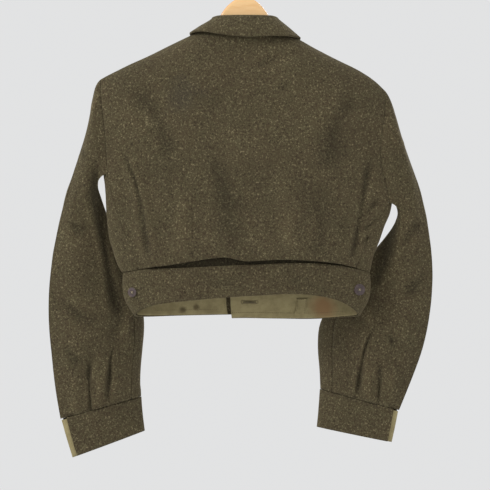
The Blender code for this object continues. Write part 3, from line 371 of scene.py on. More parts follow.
@dataclass(frozen=True)
class DrillFinish:
    """Khaki cotton drill, rubbed and stained here and there, with painted shade in its crease
    troughs and painted light on their ridges.
    """

    name: str = "khaki_drill_cloth"
    ground: Colour = display(160, 148, 108)
    deep: Colour = display(138, 126, 90)
    warm: Colour = display(146, 116, 80)
    mark: Colour = display(104, 92, 64)
    warm_place: tuple[float, float, float] = (-0.132, -0.040, -0.574)
    marks: tuple[Pair, ...] = ((152.6, -575.0), (104.6, -578.0), (81.0, -574.0))

    def build(self) -> bpy.types.Material:
        """Makes the material."""
        tree = Tree(self.name)
        colour = tree.ramp(tree.spots(60.0, 5.0, 0.65), ((0.35, self.deep), (0.62, self.ground)))
        warm = tree.patch(self.warm_place, 0.030)
        colour = tree.blend(warm, colour, self.warm)
        for x, z in self.marks:
            spot = tree.patch((x * MM, -0.040, z * MM), 0.0075, 0.5)
            colour = tree.blend(spot, colour, self.mark)
        # Painted shade and light: the relief attribute darkens the colour in crease troughs and
        # lightens it on ridges.
        relief = tree.add("ShaderNodeAttribute", attribute_name="relief").outputs["Fac"]
        tone = tree.level(relief, -1.0, 1.0, 0.78, 1.20)
        colour = tree.blend(1.0, colour, tone, "MULTIPLY")
        tree.bump(((tree.ribs(0.0007, (0.0, 40.0, 0.0), 0.8), 0.00012),
                   (tree.spots(400.0), 0.0003)))
        return tree.finish(colour, 0.88, Sheen_Weight=0.08, Specular_IOR_Level=0.25)


@dataclass(frozen=True)
class PlasticFinish:
    """Moulded button plastic, mottled and dulled by wear."""

    name: str = "button_plastic_worn"
    ground: Colour = display(62, 49, 48)
    light: Colour = display(88, 73, 70)

    def build(self) -> bpy.types.Material:
        """Makes the material."""
        tree = Tree(self.name)
        colour = tree.ramp(tree.spots(240.0, 4.0), ((0.36, self.ground), (0.72, self.light)))
        tree.bump(((tree.spots(900.0), 0.00008),))
        return tree.finish(colour, tree.level(tree.spots(500.0), 0.3, 0.7, 0.36, 0.58))


@dataclass(frozen=True)
class WoodFinish:
    """Blond varnished wood, with an orange tone on its rounded edges."""

    name: str = "hanger_wood_varnished"
    face: Colour = display(248, 204, 144)
    grain: Colour = display(228, 174, 108)
    edge: Colour = display(226, 150, 66)

    def build(self) -> bpy.types.Material:
        """Makes the material."""
        tree = Tree(self.name)
        along = tree.turned((0.0, 0.0, 0.0), (0.16, 1.0, 1.0))
        streaks = tree.level(tree.spots(210.0, 5.0, 0.6, along), 0.42, 0.66)
        wide = tree.level(tree.spots(42.0, 3.0, 0.5, along), 0.35, 0.7)
        colour = tree.blend(wide, self.face, tree.blend(streaks, self.face, self.grain))
        facing = tree.add("ShaderNodeSeparateXYZ", {"Vector": tree.normal}).outputs["Y"]
        flat = tree.add("ShaderNodeMath", {0: facing}, operation="ABSOLUTE").outputs[0]
        colour = tree.blend(tree.level(flat, 0.95, 0.35), colour, self.edge)
        tree.bump(((streaks, 0.00006),))
        return tree.finish(colour, 0.34, Coat_Weight=0.55, Coat_Roughness=0.12)


@dataclass(frozen=True)
class SteelFinish:
    """Plain bright wire with fine drawing marks."""

    name: str = "hook_steel_wire"
    ground: Colour = display(186, 186, 184)
    dull: Colour = display(150, 149, 146)

    def build(self) -> bpy.types.Material:
        """Makes the material."""
        tree = Tree(self.name)
        along = tree.turned((0.0, 0.0, 0.0), (1.0, 1.0, 0.2))
        marks = tree.spots(700.0, 4.0, 0.6, along)
        colour = tree.ramp(marks, ((0.35, self.dull), (0.65, self.ground)))
        return tree.finish(colour, tree.level(marks, 0.3, 0.7, 0.24, 0.40), Metallic=1.0)


@dataclass(frozen=True)
class ThreadFinish:
    """Sewing thread of one colour, with a slight twist in it."""

    name: str
    ground: Colour

    def build(self) -> bpy.types.Material:
        """Makes the material."""
        tree = Tree(self.name)
        paler = tuple(min(1.0, part * 1.35) for part in self.ground)
        colour = tree.ramp(tree.spots(1500.0), ((0.35, self.ground), (0.7, paler)))
        tree.bump(((tree.ribs(0.0004, (0.0, 30.0, 20.0)), 0.00008),))
        return tree.finish(colour, 0.75, Sheen_Weight=0.1)


@dataclass(frozen=True)
class Finishes:
    """Every material of the jacket, made once."""

    serge: bpy.types.Material
    drill: bpy.types.Material
    plastic: bpy.types.Material
    wood: bpy.types.Material
    steel: bpy.types.Material
    shaded_serge: bpy.types.Material
    wool_thread: bpy.types.Material
    drill_thread: bpy.types.Material
    button_thread: bpy.types.Material
    slit: bpy.types.Material

    @classmethod
    def make(cls) -> "Finishes":
        """Makes all the materials."""
        return cls(
            serge=SergeFinish().build(),
            # A darker copy of the serge, with painted shadow, for the cloth seen deep in the
            # back slit.
            shaded_serge=SergeFinish("wool_serge_painted_shadow", shade=0.42).build(),
            drill=DrillFinish().build(),
            plastic=PlasticFinish().build(), wood=WoodFinish().build(),
            steel=SteelFinish().build(),
            wool_thread=ThreadFinish("thread_brown", display(74, 64, 42)).build(),
            drill_thread=ThreadFinish("thread_khaki", display(88, 74, 48)).build(),
            button_thread=ThreadFinish("thread_pale", display(150, 138, 112)).build(),
            # A near-black finish that paints the shadow in the buttonhole's opening.
            slit=ThreadFinish("slit_shadow", display(34, 29, 20)).build())


@dataclass(frozen=True)
class Crease:
    """A soft trough or ridge of the cloth, through points seen from behind.

    A negative height is a trough, with a low swell along each side of it.
    """

    points: tuple[Pair, ...]
    half: float
    height: float

    def add_to(self, total: np.ndarray, places: np.ndarray) -> None:
        """Adds the crease's height to some places.

        Args:
            total: Heights in millimetres, changed in place.
            places: The places as seen from behind, in millimetres.
        """
        route = np.array(self.points)
        steps = np.linalg.norm(np.diff(route, axis=0), axis=1)
        starts = np.concatenate([[0.0], np.cumsum(steps)])
        best = np.full(len(places), 1e9)
        along = np.zeros(len(places))
        for index, step in enumerate(steps):
            run = (route[index + 1] - route[index]) / step
            off = places - route[index]
            go = np.clip(off @ run, 0.0, step)
            far = np.linalg.norm(off - go[:, None] * run, axis=1)
            nearer = far < best
            best[nearer] = far[nearer]
            along[nearer] = (starts[index] + go[nearer]) / starts[-1]
        phase = route[0, 0] * 0.37 + route[0, 1] * 0.19
        wide = self.half * (0.85 + 0.28 * np.sin(along * 7.0 + phase))
        strong = 0.85 + 0.22 * np.sin(along * 11.0 + phase * 1.7)
        fade = smooth(along / 0.22) * smooth((1.0 - along) / 0.22)
        shape = np.exp(-(best / wide) ** 2) - 0.30 * np.exp(-((best / wide - 2.1) ** 2))
        total += self.height * CREASE_GAIN * strong * fade * shape


@dataclass(frozen=True)
class SpineRow:
    """The middle of a tube of cloth at a height, and its half width and half thickness."""

    height: float
    x: float
    y: float
    wide: float
    thick: float


@dataclass(frozen=True)
class Spine:
    """The line that a tube of cloth surrounds, which tells outward from inward."""

    rows: tuple[SpineRow, ...]

    def outward(self, points: np.ndarray) -> np.ndarray:
        """Finds the outward direction at some points.

        Args:
            points: The points, in metres.

        Returns:
            Unit vectors that lie level.
        """
        heights = np.array([row.height for row in self.rows])[::-1]

        def read(name: str) -> np.ndarray:
            """Reads one column of the rows at each point's height."""
            values = np.array([getattr(row, name) for row in self.rows])[::-1]
            return np.interp(points[:, 2] / MM, heights, values) * MM

        way = np.zeros_like(points)
        way[:, 0] = (points[:, 0] - read("x")) / read("wide") ** 2
        way[:, 1] = (points[:, 1] - read("y")) / read("thick") ** 2
        return way / np.maximum(np.linalg.norm(way, axis=1), 1e-9)[:, None]


BODY_SPINE = Spine((SpineRow(-100.0, 0.0, 0.0, 240.0, 45.0),
                    SpineRow(-620.0, 0.0, 0.0, 205.0, 50.0)))
LEFT_SPINE = Spine((SpineRow(-200.0, 243.0, 0.0, 60.0, 24.0),
                    SpineRow(-390.0, 268.0, -18.0, 62.0, 28.0),
                    SpineRow(-530.0, 258.0, -37.0, 75.0, 28.0),
                    SpineRow(-640.0, 247.0, -37.0, 76.0, 26.0),
                    SpineRow(-820.0, 232.0, -33.0, 66.0, 18.0)))
RIGHT_SPINE = Spine((SpineRow(-215.0, -238.0, 0.0, 60.0, 24.0),
                     SpineRow(-400.0, -268.0, -18.0, 62.0, 28.0),
                     SpineRow(-510.0, -248.0, -44.0, 75.0, 29.0),
                     SpineRow(-630.0, -211.0, -48.0, 80.0, 27.0),
                     SpineRow(-800.0, -186.0, -44.0, 66.0, 18.0)))

BACK_CREASES = (
    Crease(((209.0, -296.0), (199.0, -324.0), (181.0, -364.0), (170.0, -417.0),
            (157.0, -508.0)), 5.0, -2.6),
    Crease(((-208.0, -318.0), (-200.0, -363.0), (-192.0, -413.0), (-181.0, -470.0),
            (-173.0, -505.0)), 5.0, -2.4),
    Crease(((-223.0, -392.0), (-200.0, -420.0)), 6.0, -1.8),
    Crease(((-220.0, -424.0), (-196.0, -448.0)), 5.0, -1.6),
    Crease(((-212.0, -452.0), (-190.0, -470.0)), 5.0, -1.4),
    Crease(((-12.0, -178.0), (-50.0, -162.0), (-94.0, -147.0)), 5.0, -1.3),
    Crease(((-30.0, -160.0), (-70.0, -146.0)), 4.0, -0.9),
    Crease(((-46.0, -217.0), (-84.0, -200.0)), 5.0, -1.2),
    Crease(((174.0, -262.0), (148.0, -290.0)), 4.5, -1.2),
    Crease(((168.0, -288.0), (152.0, -316.0)), 4.5, -1.2),
    Crease(((192.0, -205.0), (150.0, -250.0), (118.0, -330.0)), 16.0, -1.6),
    Crease(((-185.0, -220.0), (-150.0, -270.0), (-128.0, -360.0)), 18.0, -1.6),
    Crease(((60.0, -300.0), (20.0, -420.0), (10.0, -500.0)), 20.0, -1.3),
    Crease(((100.0, -380.0), (112.0, -500.0)), 16.0, 1.5),
    Crease(((-60.0, -350.0), (-74.0, -490.0)), 18.0, 1.4),
    Crease(((-130.0, -400.0), (-120.0, -495.0)), 14.0, -1.2),
)
FRONT_CREASES = (
    Crease(((222.0, -300.0), (180.0, -380.0), (150.0, -505.0)), 8.0, -3.0),
    Crease(((-222.0, -320.0), (-182.0, -400.0), (-152.0, -505.0)), 8.0, -3.0),
    Crease(((196.0, -210.0), (150.0, -260.0)), 7.0, -1.6),
    Crease(((-190.0, -225.0), (-146.0, -270.0)), 7.0, -1.6),
    Crease(((120.0, -300.0), (96.0, -400.0), (98.0, -500.0)), 13.0, -2.0),
    Crease(((-118.0, -310.0), (-92.0, -410.0), (-96.0, -500.0)), 13.0, -2.0),
    Crease(((60.0, -250.0), (50.0, -330.0), (58.0, -460.0)), 12.0, 1.4),
    Crease(((-64.0, -260.0), (-52.0, -340.0), (-60.0, -460.0)), 12.0, 1.4),
    Crease(((150.0, -430.0), (110.0, -452.0)), 6.0, -1.4),
    Crease(((-150.0, -440.0), (-112.0, -458.0)), 6.0, -1.4),
)
LEFT_BACK_CREASES = (
    Crease(((225.0, -742.0), (229.0, -722.0), (227.0, -700.0), (224.0, -660.0),
            (219.0, -636.0)), 3.4, -3.4),
    Crease(((257.0, -756.0), (260.0, -700.0), (260.0, -680.0), (255.0, -658.0)), 3.4, -3.0),
    Crease(((247.0, -312.0), (246.0, -396.0), (233.0, -478.0), (219.0, -556.0),
            (203.0, -606.0)), 9.0, -3.6),
    Crease(((241.0, -215.0), (256.0, -252.0)), 5.0, 1.6),
    Crease(((276.0, -300.0), (262.0, -330.0)), 7.0, -1.8),
    Crease(((296.0, -430.0), (262.0, -452.0)), 9.0, -2.0),
    Crease(((312.0, -560.0), (272.0, -590.0), (240.0, -600.0)), 10.0, -2.0),
    Crease(((300.0, -640.0), (276.0, -670.0)), 8.0, -1.8),
    Crease(((242.0, -640.0), (244.0, -745.0)), 8.0, 1.6),
    Crease(((286.0, -680.0), (284.0, -755.0)), 8.0, 1.4),
    Crease(((190.0, -560.0), (206.0, -640.0)), 9.0, 1.6),
)
RIGHT_BACK_CREASES = (
    Crease(((-186.0, -728.0), (-199.0, -648.0), (-204.0, -632.0), (-217.0, -604.0)),
           3.4, -3.4),
    Crease(((-223.0, -742.0), (-225.0, -700.0), (-225.0, -664.0)), 3.4, -3.0),
    Crease(((-256.0, -408.0), (-240.0, -460.0), (-228.0, -500.0), (-212.0, -552.0)),
           9.0, -3.6),
    Crease(((-244.0, -272.0), (-266.0, -306.0)), 3.5, 1.6),
    Crease(((-238.0, -278.0), (-258.0, -312.0)), 3.5, 1.4),
    Crease(((-238.0, -620.0), (-252.0, -640.0)), 8.0, -2.6),
    Crease(((-290.0, -430.0), (-262.0, -470.0)), 9.0, -1.8),
    Crease(((-300.0, -520.0), (-262.0, -560.0)), 10.0, -1.8),
    Crease(((-190.0, -560.0), (-214.0, -610.0)), 9.0, 1.6),
    Crease(((-205.0, -660.0), (-206.0, -735.0)), 8.0, 1.4),
    Crease(((-246.0, -660.0), (-242.0, -738.0)), 8.0, 1.4),
)
LEFT_FRONT_CREASES = (
    Crease(((304.0, -460.0), (262.0, -520.0), (216.0, -560.0)), 10.0, -3.0),
    Crease(((306.0, -560.0), (260.0, -560.0), (210.0, -520.0)), 10.0, -2.4),
    Crease(((262.0, -330.0), (284.0, -420.0)), 9.0, -2.2),
    Crease(((250.0, -640.0), (246.0, -745.0)), 4.0, -2.6),
    Crease(((222.0, -640.0), (212.0, -738.0)), 4.0, -2.6),
)
RIGHT_FRONT_CREASES = (
    Crease(((-296.0, -470.0), (-250.0, -520.0), (-196.0, -560.0)), 10.0, -3.0),
    Crease(((-290.0, -590.0), (-240.0, -570.0), (-180.0, -520.0)), 10.0, -2.4),
    Crease(((-256.0, -340.0), (-276.0, -420.0)), 9.0, -2.2),
    Crease(((-216.0, -640.0), (-208.0, -735.0)), 4.0, -2.6),
    Crease(((-180.0, -630.0), (-170.0, -725.0)), 4.0, -2.6),
)
BAND_CREASES = (
    Crease(((60.0, -535.0), (20.0, -532.0)), 9.0, -0.8),
    Crease(((-70.0, -530.0), (-120.0, -540.0)), 9.0, -0.8),
)


@dataclass(frozen=True)
class Cut:
    """A piece's flat size before sewing: width, length and area in metres."""

    width: float
    length: float
    area: float


@dataclass(frozen=True)
class Cloth:
    """One cut piece of cloth, dressed from its CAD node."""

    node: str
    slot: Slot
    cut: Cut
    spine: Spine
    creases: tuple[Crease, ...] = ()
    rests_on: str = "hanger_body"
    levels: int = 2
    ripple: float = 0.7
    held: str = "hung"

    def build(self, material: bpy.types.Material) -> bpy.types.Object:
        """Args:
            material: Its finish.

        Returns:
            The finished piece.
        """
        piece = refined_copy(self.node, self.node + "_cloth", self.levels)
        self.add_relief(piece)
        settle(piece, material, self.slot, self.node)
        report(piece)
        return piece

    def add_relief(self, piece: bpy.types.Object) -> None:
        """Presses the creases and a slight unevenness into the cloth.

        Args:
            piece: The cloth, changed in place.
        """
        count = len(piece.data.vertices)
        points = np.empty(count * 3, np.float32)
        piece.data.vertices.foreach_get("co", points)
        points = points.reshape(-1, 3).astype(float)
        heights = np.zeros(count)
        for crease in self.creases:
            crease.add_to(heights, points[:, [0, 2]] / MM)
        uneven = np.array([
            noise.noise(Vector(point) * 16.0) + 0.55 * noise.noise(Vector(point) * 38.0)
            + 0.25 * noise.noise(Vector(point) * 85.0) for point in points])
        heights += uneven * self.ripple
        points += self.spine.outward(points) * heights[:, None] * MM
        piece.data.vertices.foreach_set("co", points.astype(np.float32).ravel())
        # The relief attribute drives painted shade in the troughs and painted light on the
        # ridges in the cloth materials.
        relief = piece.data.attributes.new("relief", "FLOAT", "POINT")
        relief.data.foreach_set("value", np.clip(heights / 3.0, -1.0, 1.0).astype(np.float32))
        piece.data.update()


def deselect_all() -> None:
    """Clears the selection, so that the next operator acts on the new piece alone."""
    for piece in bpy.context.view_layer.objects:
        piece.select_set(False)


def make_active(piece: bpy.types.Object) -> None:
    """Selects one piece and makes it active."""
    deselect_all()
    piece.select_set(True)
    bpy.context.view_layer.objects.active = piece


def apply_modifiers(piece: bpy.types.Object) -> None:
    """Applies all the modifiers of a piece."""
    make_active(piece)
    for modifier in list(piece.modifiers):
        bpy.ops.object.modifier_apply(modifier=modifier.name)


def refined_copy(node: str, name: str, levels: int, corner: float = 48.0) -> bpy.types.Object:
    """Copies a CAD node's mesh and makes it fine and smooth, with its corners kept.

    Args:
        node: The CAD node.
        name: Name of the new piece.
        levels: Levels of subdivision.
        corner: Edges that turn more than this many degrees stay sharp.

    Returns:
        The new piece.
    """
    shape = bmesh.new()
    shape.from_mesh(frame["nodes"][node].data)
    bmesh.ops.remove_doubles(shape, verts=shape.verts, dist=1e-6)
    bmesh.ops.join_triangles(shape, faces=shape.faces, cmp_seam=False, cmp_sharp=False,
                             cmp_uvs=False, cmp_vcols=False, cmp_materials=False,
                             angle_face_threshold=math.radians(40.0),
                             angle_shape_threshold=math.radians(175.0))
    creases = shape.edges.layers.float.new("crease_edge")
    for edge in shape.edges:
        if len(edge.link_faces) == 2 and edge.calc_face_angle() > math.radians(corner):
            edge[creases] = 1.0
    mesh = bpy.data.meshes.new(name)
    shape.to_mesh(mesh)
    shape.free()
    piece = bpy.data.objects.new(name, mesh)
    bpy.context.scene.collection.objects.link(piece)
    finer = piece.modifiers.new("finer", "SUBSURF")
    finer.levels = levels
    finer.render_levels = levels
    apply_modifiers(piece)
    bpy.ops.object.shade_smooth_by_angle(angle=math.radians(corner))
    return piece


def settle(piece: bpy.types.Object, material: bpy.types.Material, slot: Slot,
           *nodes: str) -> None:
    """Gives a piece its finish and its place in the model.

    Args:
        piece: The piece.
        material: Its finish.
        slot: The record's slot that the finish belongs to; not used.
        nodes: CAD nodes that the piece stands for.
    """
    piece.data.materials.clear()
    piece.data.materials.append(material)
    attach(piece, BODY)
    if nodes:
        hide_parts(*nodes)


def report(piece: bpy.types.Object) -> None:
    """Logs a finished piece and its number of triangles."""
    triangles = sum(len(face.vertices) - 2 for face in piece.data.polygons)
    LOG.info("%s: %d triangles", piece.name, triangles)


class Probe:
    """Finds places on a finished piece of cloth by rays along Y."""

    def __init__(self, piece: bpy.types.Object, face: Face) -> None:
        """Prepares the piece.

        Args:
            piece: The cloth.
            face: The side that the rays come from.
        """
        mesh = piece.data
        self.tree = BVHTree.FromPolygons([vertex.co for vertex in mesh.vertices],
                                         [tuple(face.vertices) for face in mesh.polygons])
        self.start, self.way = face.value

    def hit(self, x: float, z: float) -> tuple[Vector, Vector] | None:
        """Finds the point and normal that a ray meets first.

        Args:
            x: Place across, in metres.
            z: Height, in metres.

        Returns:
            The point and its normal, or None where the ray misses.
        """
        origin = Vector((x, self.start, z))
        place, normal, _, _ = self.tree.ray_cast(origin, Vector((0.0, self.way, 0.0)))
        return None if place is None else (place, normal)

    def edge(self, inside: Pair, outside: Pair) -> Pair | None:
        """Finds the cloth's edge between a place on it and a place off it.

        Args:
            inside: A place (x, z) that the cloth covers.
            outside: A place that it doesn't.

        Returns:
            The edge's place, or None where the first place isn't covered.
        """
        if self.hit(*inside) is None:
            return None
        low, high = 0.0, 1.0
        for _ in range(16):
            middle = (low + high) / 2.0
            place = tuple(a + (b - a) * middle for a, b in zip(inside, outside))
            if self.hit(*place) is None:
                high = middle
            else:
                low = middle
        return tuple(a + (b - a) * low for a, b in zip(inside, outside))


@dataclass
class Sewing:
    """Collects stitches and makes them one piece of thread."""

    name: str
    pitch: float = 0.0032
    share: float = 0.74
    radius: float = 0.00026
    verts: list[Vector] = field(default_factory=list)
    faces: list[tuple[int, ...]] = field(default_factory=list)

    def stitch(self, start: Vector, end: Vector, normal: Vector, radius: float) -> None:
        """Adds one stitch, bent up in its middle and sunk at its ends.

        Args:
            start: Where it comes out.
            end: Where it goes in.
            normal: Outward direction of the cloth.
            radius: Half the thread's thickness.
        """
        sides, rings = 6, ((0.0, -0.7, 0.35), (0.14, 0.25, 0.9), (0.5, 0.55, 1.0),
                           (0.86, 0.25, 0.9), (1.0, -0.7, 0.35))
        run = (end - start).normalized()
        across = run.cross(normal).normalized()
        first = len(self.verts)
        for share, lift, size in rings:
            middle = start.lerp(end, share) + normal * lift * radius
            for side in range(sides):
                turn = math.tau * side / sides
                off = across * math.cos(turn) + normal * math.sin(turn)
                self.verts.append(middle + off * radius * size)
        for ring in range(len(rings) - 1):
            for side in range(sides):
                low = first + ring * sides
                after = (side + 1) % sides
                self.faces.append((low + side, low + after, low + sides + after,
                                   low + sides + side))
        self.faces.append(tuple(first + side for side in reversed(range(sides))))
        last = first + (len(rings) - 1) * sides
        self.faces.append(tuple(last + side for side in range(sides)))

    def row(self, route: Sequence[tuple[Vector, Vector]]) -> None:
        """Adds a row of stitches along points on the cloth.

        Args:
            route: Points and normals, close together.
        """
        if len(route) < 2:
            return
        lengths = [0.0]
        for (before, _), (after, _) in zip(route, route[1:]):
            lengths.append(lengths[-1] + (after - before).length)
        spots = np.array([tuple(point) for point, _ in route])
        ways = np.array([tuple(normal) for _, normal in route])

        def at(length: float) -> tuple[Vector, Vector]:
            """Reads the route at a length."""
            place = Vector([np.interp(length, lengths, spots[:, axis]) for axis in range(3)])
            way = Vector([np.interp(length, lengths, ways[:, axis]) for axis in range(3)])
            return place, way.normalized()

        for index in range(int(lengths[-1] / self.pitch)):
            start, normal = at(index * self.pitch)
            end, _ = at((index + self.share) * self.pitch)
            self.stitch(start, end, normal, self.radius)

    def finish(self, material: bpy.types.Material, slot: Slot) -> bpy.types.Object | None:
        """Makes the thread's mesh.

        Args:
            material: The thread's finish.
            slot: The record's slot, passed on to settle.

        Returns:
            The piece, or None where there are no stitches.
        """
        if not self.faces:
            return None
        mesh = bpy.data.meshes.new(self.name)
        mesh.from_pydata(self.verts, [], self.faces)
        shape = bmesh.new()
        shape.from_mesh(mesh)
        bmesh.ops.recalc_face_normals(shape, faces=shape.faces)
        shape.to_mesh(mesh)
        shape.free()
        mesh.shade_smooth()
        piece = bpy.data.objects.new(self.name, mesh)
        bpy.context.scene.collection.objects.link(piece)
        settle(piece, material, slot)
        report(piece)
        return piece


def edge_route(probe: Probe, inside: Callable[[float], Pair], reach: Pair, ends: Pair,
               inset: float, step: float = 0.0015) -> list[tuple[Vector, Vector]]:
    """Follows an edge of the cloth at a fixed distance inside it.

    Args:
        probe: The cloth.
        inside: Gives a covered place (x, z) for each place along the edge.
        reach: Way (x, z) from there to a place past the edge.
        ends: First and last place along the edge.
        inset: Distance from the edge.
        step: Distance between the route's points.

    Returns:
        Points and normals along the route.
    """
    route = []
    size = math.hypot(*reach)
    count = max(2, int(abs(ends[1] - ends[0]) / step))
    for index in range(count + 1):
        along = ends[0] + (ends[1] - ends[0]) * index / count
        start = inside(along)
        found = probe.edge(start, (start[0] + reach[0], start[1] + reach[1]))
        if found is None:
            continue
        met = probe.hit(found[0] - reach[0] / size * inset, found[1] - reach[1] / size * inset)
        if met is not None:
            route.append(met)
    return route


def line_route(probe: Probe, start: Pair, end: Pair, count: int = 40
               ) -> list[tuple[Vector, Vector]]:
    """Follows a straight line on the cloth as seen along Y.

    Args:
        probe: The cloth.
        start: First place (x, z).
        end: Last place.
        count: Number of steps.

    Returns:
        Points and normals along the line.
    """
    found = []
    for index in range(count + 1):
        share = index / count
        met = probe.hit(start[0] + (end[0] - start[0]) * share,
                        start[1] + (end[1] - start[1]) * share)
        if met is not None:
            found.append(met)
    return found


@dataclass
class Blouse:
    """The cut and sewn cloth of the jacket."""

    finishes: Finishes
    cloths: tuple[Cloth, ...] = (
        Cloth("back_panel", Slot.SERGE, Cut(0.50, 0.405, 0.166), BODY_SPINE, BACK_CREASES),
        Cloth("front_left", Slot.SERGE, Cut(0.28, 0.43, 0.105), BODY_SPINE, FRONT_CREASES),
        Cloth("front_right", Slot.SERGE, Cut(0.29, 0.43, 0.103), BODY_SPINE, FRONT_CREASES),
        Cloth("sleeve_left_back", Slot.SERGE, Cut(0.155, 0.58, 0.055), LEFT_SPINE,
              LEFT_BACK_CREASES, "front_left"),
        Cloth("sleeve_left_front", Slot.SERGE, Cut(0.20, 0.58, 0.077), LEFT_SPINE,
              LEFT_FRONT_CREASES, "front_left"),
        Cloth("sleeve_right_back", Slot.SERGE, Cut(0.155, 0.55, 0.052), RIGHT_SPINE,
              RIGHT_BACK_CREASES, "front_right"),
        Cloth("sleeve_right_front", Slot.SERGE, Cut(0.205, 0.55, 0.078), RIGHT_SPINE,
              RIGHT_FRONT_CREASES, "front_right"),
        Cloth("cuff_left", Slot.SERGE, Cut(0.30, 0.062, 0.0171), LEFT_SPINE, (),
              "sleeve_left_back", 3, 0.5),
        Cloth("cuff_right", Slot.SERGE, Cut(0.295, 0.062, 0.0166), RIGHT_SPINE, (),
              "sleeve_right_back", 3, 0.5),
        Cloth("cuff_facing_left", Slot.DRILL, Cut(0.066, 0.064, 0.0039), LEFT_SPINE, (),
              "cuff_left", 2, 0.4),
        Cloth("cuff_facing_right", Slot.DRILL, Cut(0.056, 0.064, 0.0032), RIGHT_SPINE, (),
              "cuff_right", 2, 0.4),
        Cloth("collar", Slot.SERGE, Cut(0.40, 0.085, 0.0268), BODY_SPINE, (),
              "back_panel", 2, 0.4),
        Cloth("band_back", Slot.SERGE, Cut(0.48, 0.064, 0.0284), BODY_SPINE, BAND_CREASES,
              "front_left", 3, 0.6),
        Cloth("band_front_left", Slot.SERGE, Cut(0.25, 0.062, 0.0133), BODY_SPINE, (),
              "front_left", 3, 0.6),
        Cloth("band_front_right", Slot.SERGE, Cut(0.27, 0.062, 0.0149), BODY_SPINE, (),
              "front_right", 3, 0.6),
        Cloth("band_facing_left", Slot.DRILL, Cut(0.175, 0.058, 0.0093), BODY_SPINE, (),
              "band_front_left", 3, 0.6),
        Cloth("band_facing_right", Slot.DRILL, Cut(0.25, 0.058, 0.0131), BODY_SPINE, (),
              "band_front_right", 3, 0.6),
        Cloth("back_inner_strip", Slot.SERGE, Cut(0.33, 0.042, 0.0126), BODY_SPINE, (),
              "band_back", 2, 0.6),
        Cloth("band_strap", Slot.DRILL, Cut(0.019, 0.029, 0.0005), BODY_SPINE, (),
              "band_facing_right", 3, 0.3),
    )
    made: dict[str, bpy.types.Object] = field(default_factory=dict)

    def build(self) -> None:
        """Makes every piece of cloth and its sewing."""
        for cloth in self.cloths:
            # The back inner strip takes the serge darkened as painted shadow.
            material = (self.finishes.drill if cloth.slot is Slot.DRILL
                        else self.finishes.shaded_serge if cloth.node == "back_inner_strip"
                        else self.finishes.serge)
            self.made[cloth.node] = cloth.build(material)
        self.sew_facings()
        self.sew_wool()
        self.work_buttonhole()

    def sew_facings(self) -> None:
        """Sews the inside of the front waistband and its strap."""
        thread = Sewing("facing_stitches")
        for name, ends in (("band_facing_left", (0.150, 0.034)),
                           ("band_facing_right", (0.022, -0.165))):
            probe = Probe(self.made[name], Face.INSIDE_FRONT)
            thread.row(edge_route(probe, lambda x: (x, -0.572), (0.0, -0.03), ends, 0.0085))
        probe = Probe(self.made["band_facing_left"], Face.INSIDE_FRONT)
        thread.row(edge_route(probe, lambda z: (0.040, z), (-0.02, 0.0),
                              (-0.545, -0.582), 0.0035))
        probe = Probe(self.made["band_strap"], Face.INSIDE_FRONT)
        low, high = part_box("band_strap")
        middle = (low + high) / 2.0
        for side in (1.0, -1.0):
            thread.row(edge_route(probe, lambda z: (middle.x, z), (side * 0.02, 0.0),
                                  (high.z - 0.004, low.z + 0.004), 0.0018))
            thread.row(edge_route(probe, lambda x: (x, middle.z), (0.0, side * 0.03),
                                  (low.x + 0.005, high.x - 0.005), 0.0018))
        thread.finish(self.finishes.drill_thread, Slot.DRILL)

    def sew_wool(self) -> None:
        """Sews the edges of the wool pieces."""
        thread = Sewing("serge_stitches")
        probe = Probe(self.made["band_back"], Face.BACK)
        for reach in (0.06, -0.06):
            thread.row(edge_route(probe, lambda x: (x, -0.536 - 0.10 * x * x), (0.0, reach),
                                  (0.188, -0.190), 0.0035))
        for name, ends in (("band_front_left", (0.188, -0.016)),
                           ("band_front_right", (-0.024, -0.192))):
            probe = Probe(self.made[name], Face.FRONT)
            thread.row(edge_route(probe, lambda x: (x, -0.560), (0.0, -0.06), ends, 0.0035))
        probe = Probe(self.made["collar"], Face.BACK)
        thread.row(edge_route(probe, lambda x: (x, -0.108), (0.0, -0.03),
                              (0.070, -0.072), 0.0060))
        probe = Probe(self.made["front_left"], Face.FRONT)
        thread.row(edge_route(probe, lambda z: (0.0, z), (-0.04, 0.0),
                              (-0.26, -0.525), 0.0060))
        for side, name in ((1.0, "cuff_left"), (-1.0, "cuff_right")):
            low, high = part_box(name)
            middle = (low + high) / 2.0
            for face in (Face.BACK, Face.FRONT):
                probe = Probe(self.made[name], face)
                for reach in (-0.06, 0.06):
                    thread.row(edge_route(
                        probe, lambda x: (x, middle.z - side * 0.27 * (x - middle.x)),
                        (0.0, reach), (low.x + 0.012, high.x - 0.012), 0.0032))
        thread.finish(self.finishes.wool_thread, Slot.SERGE)

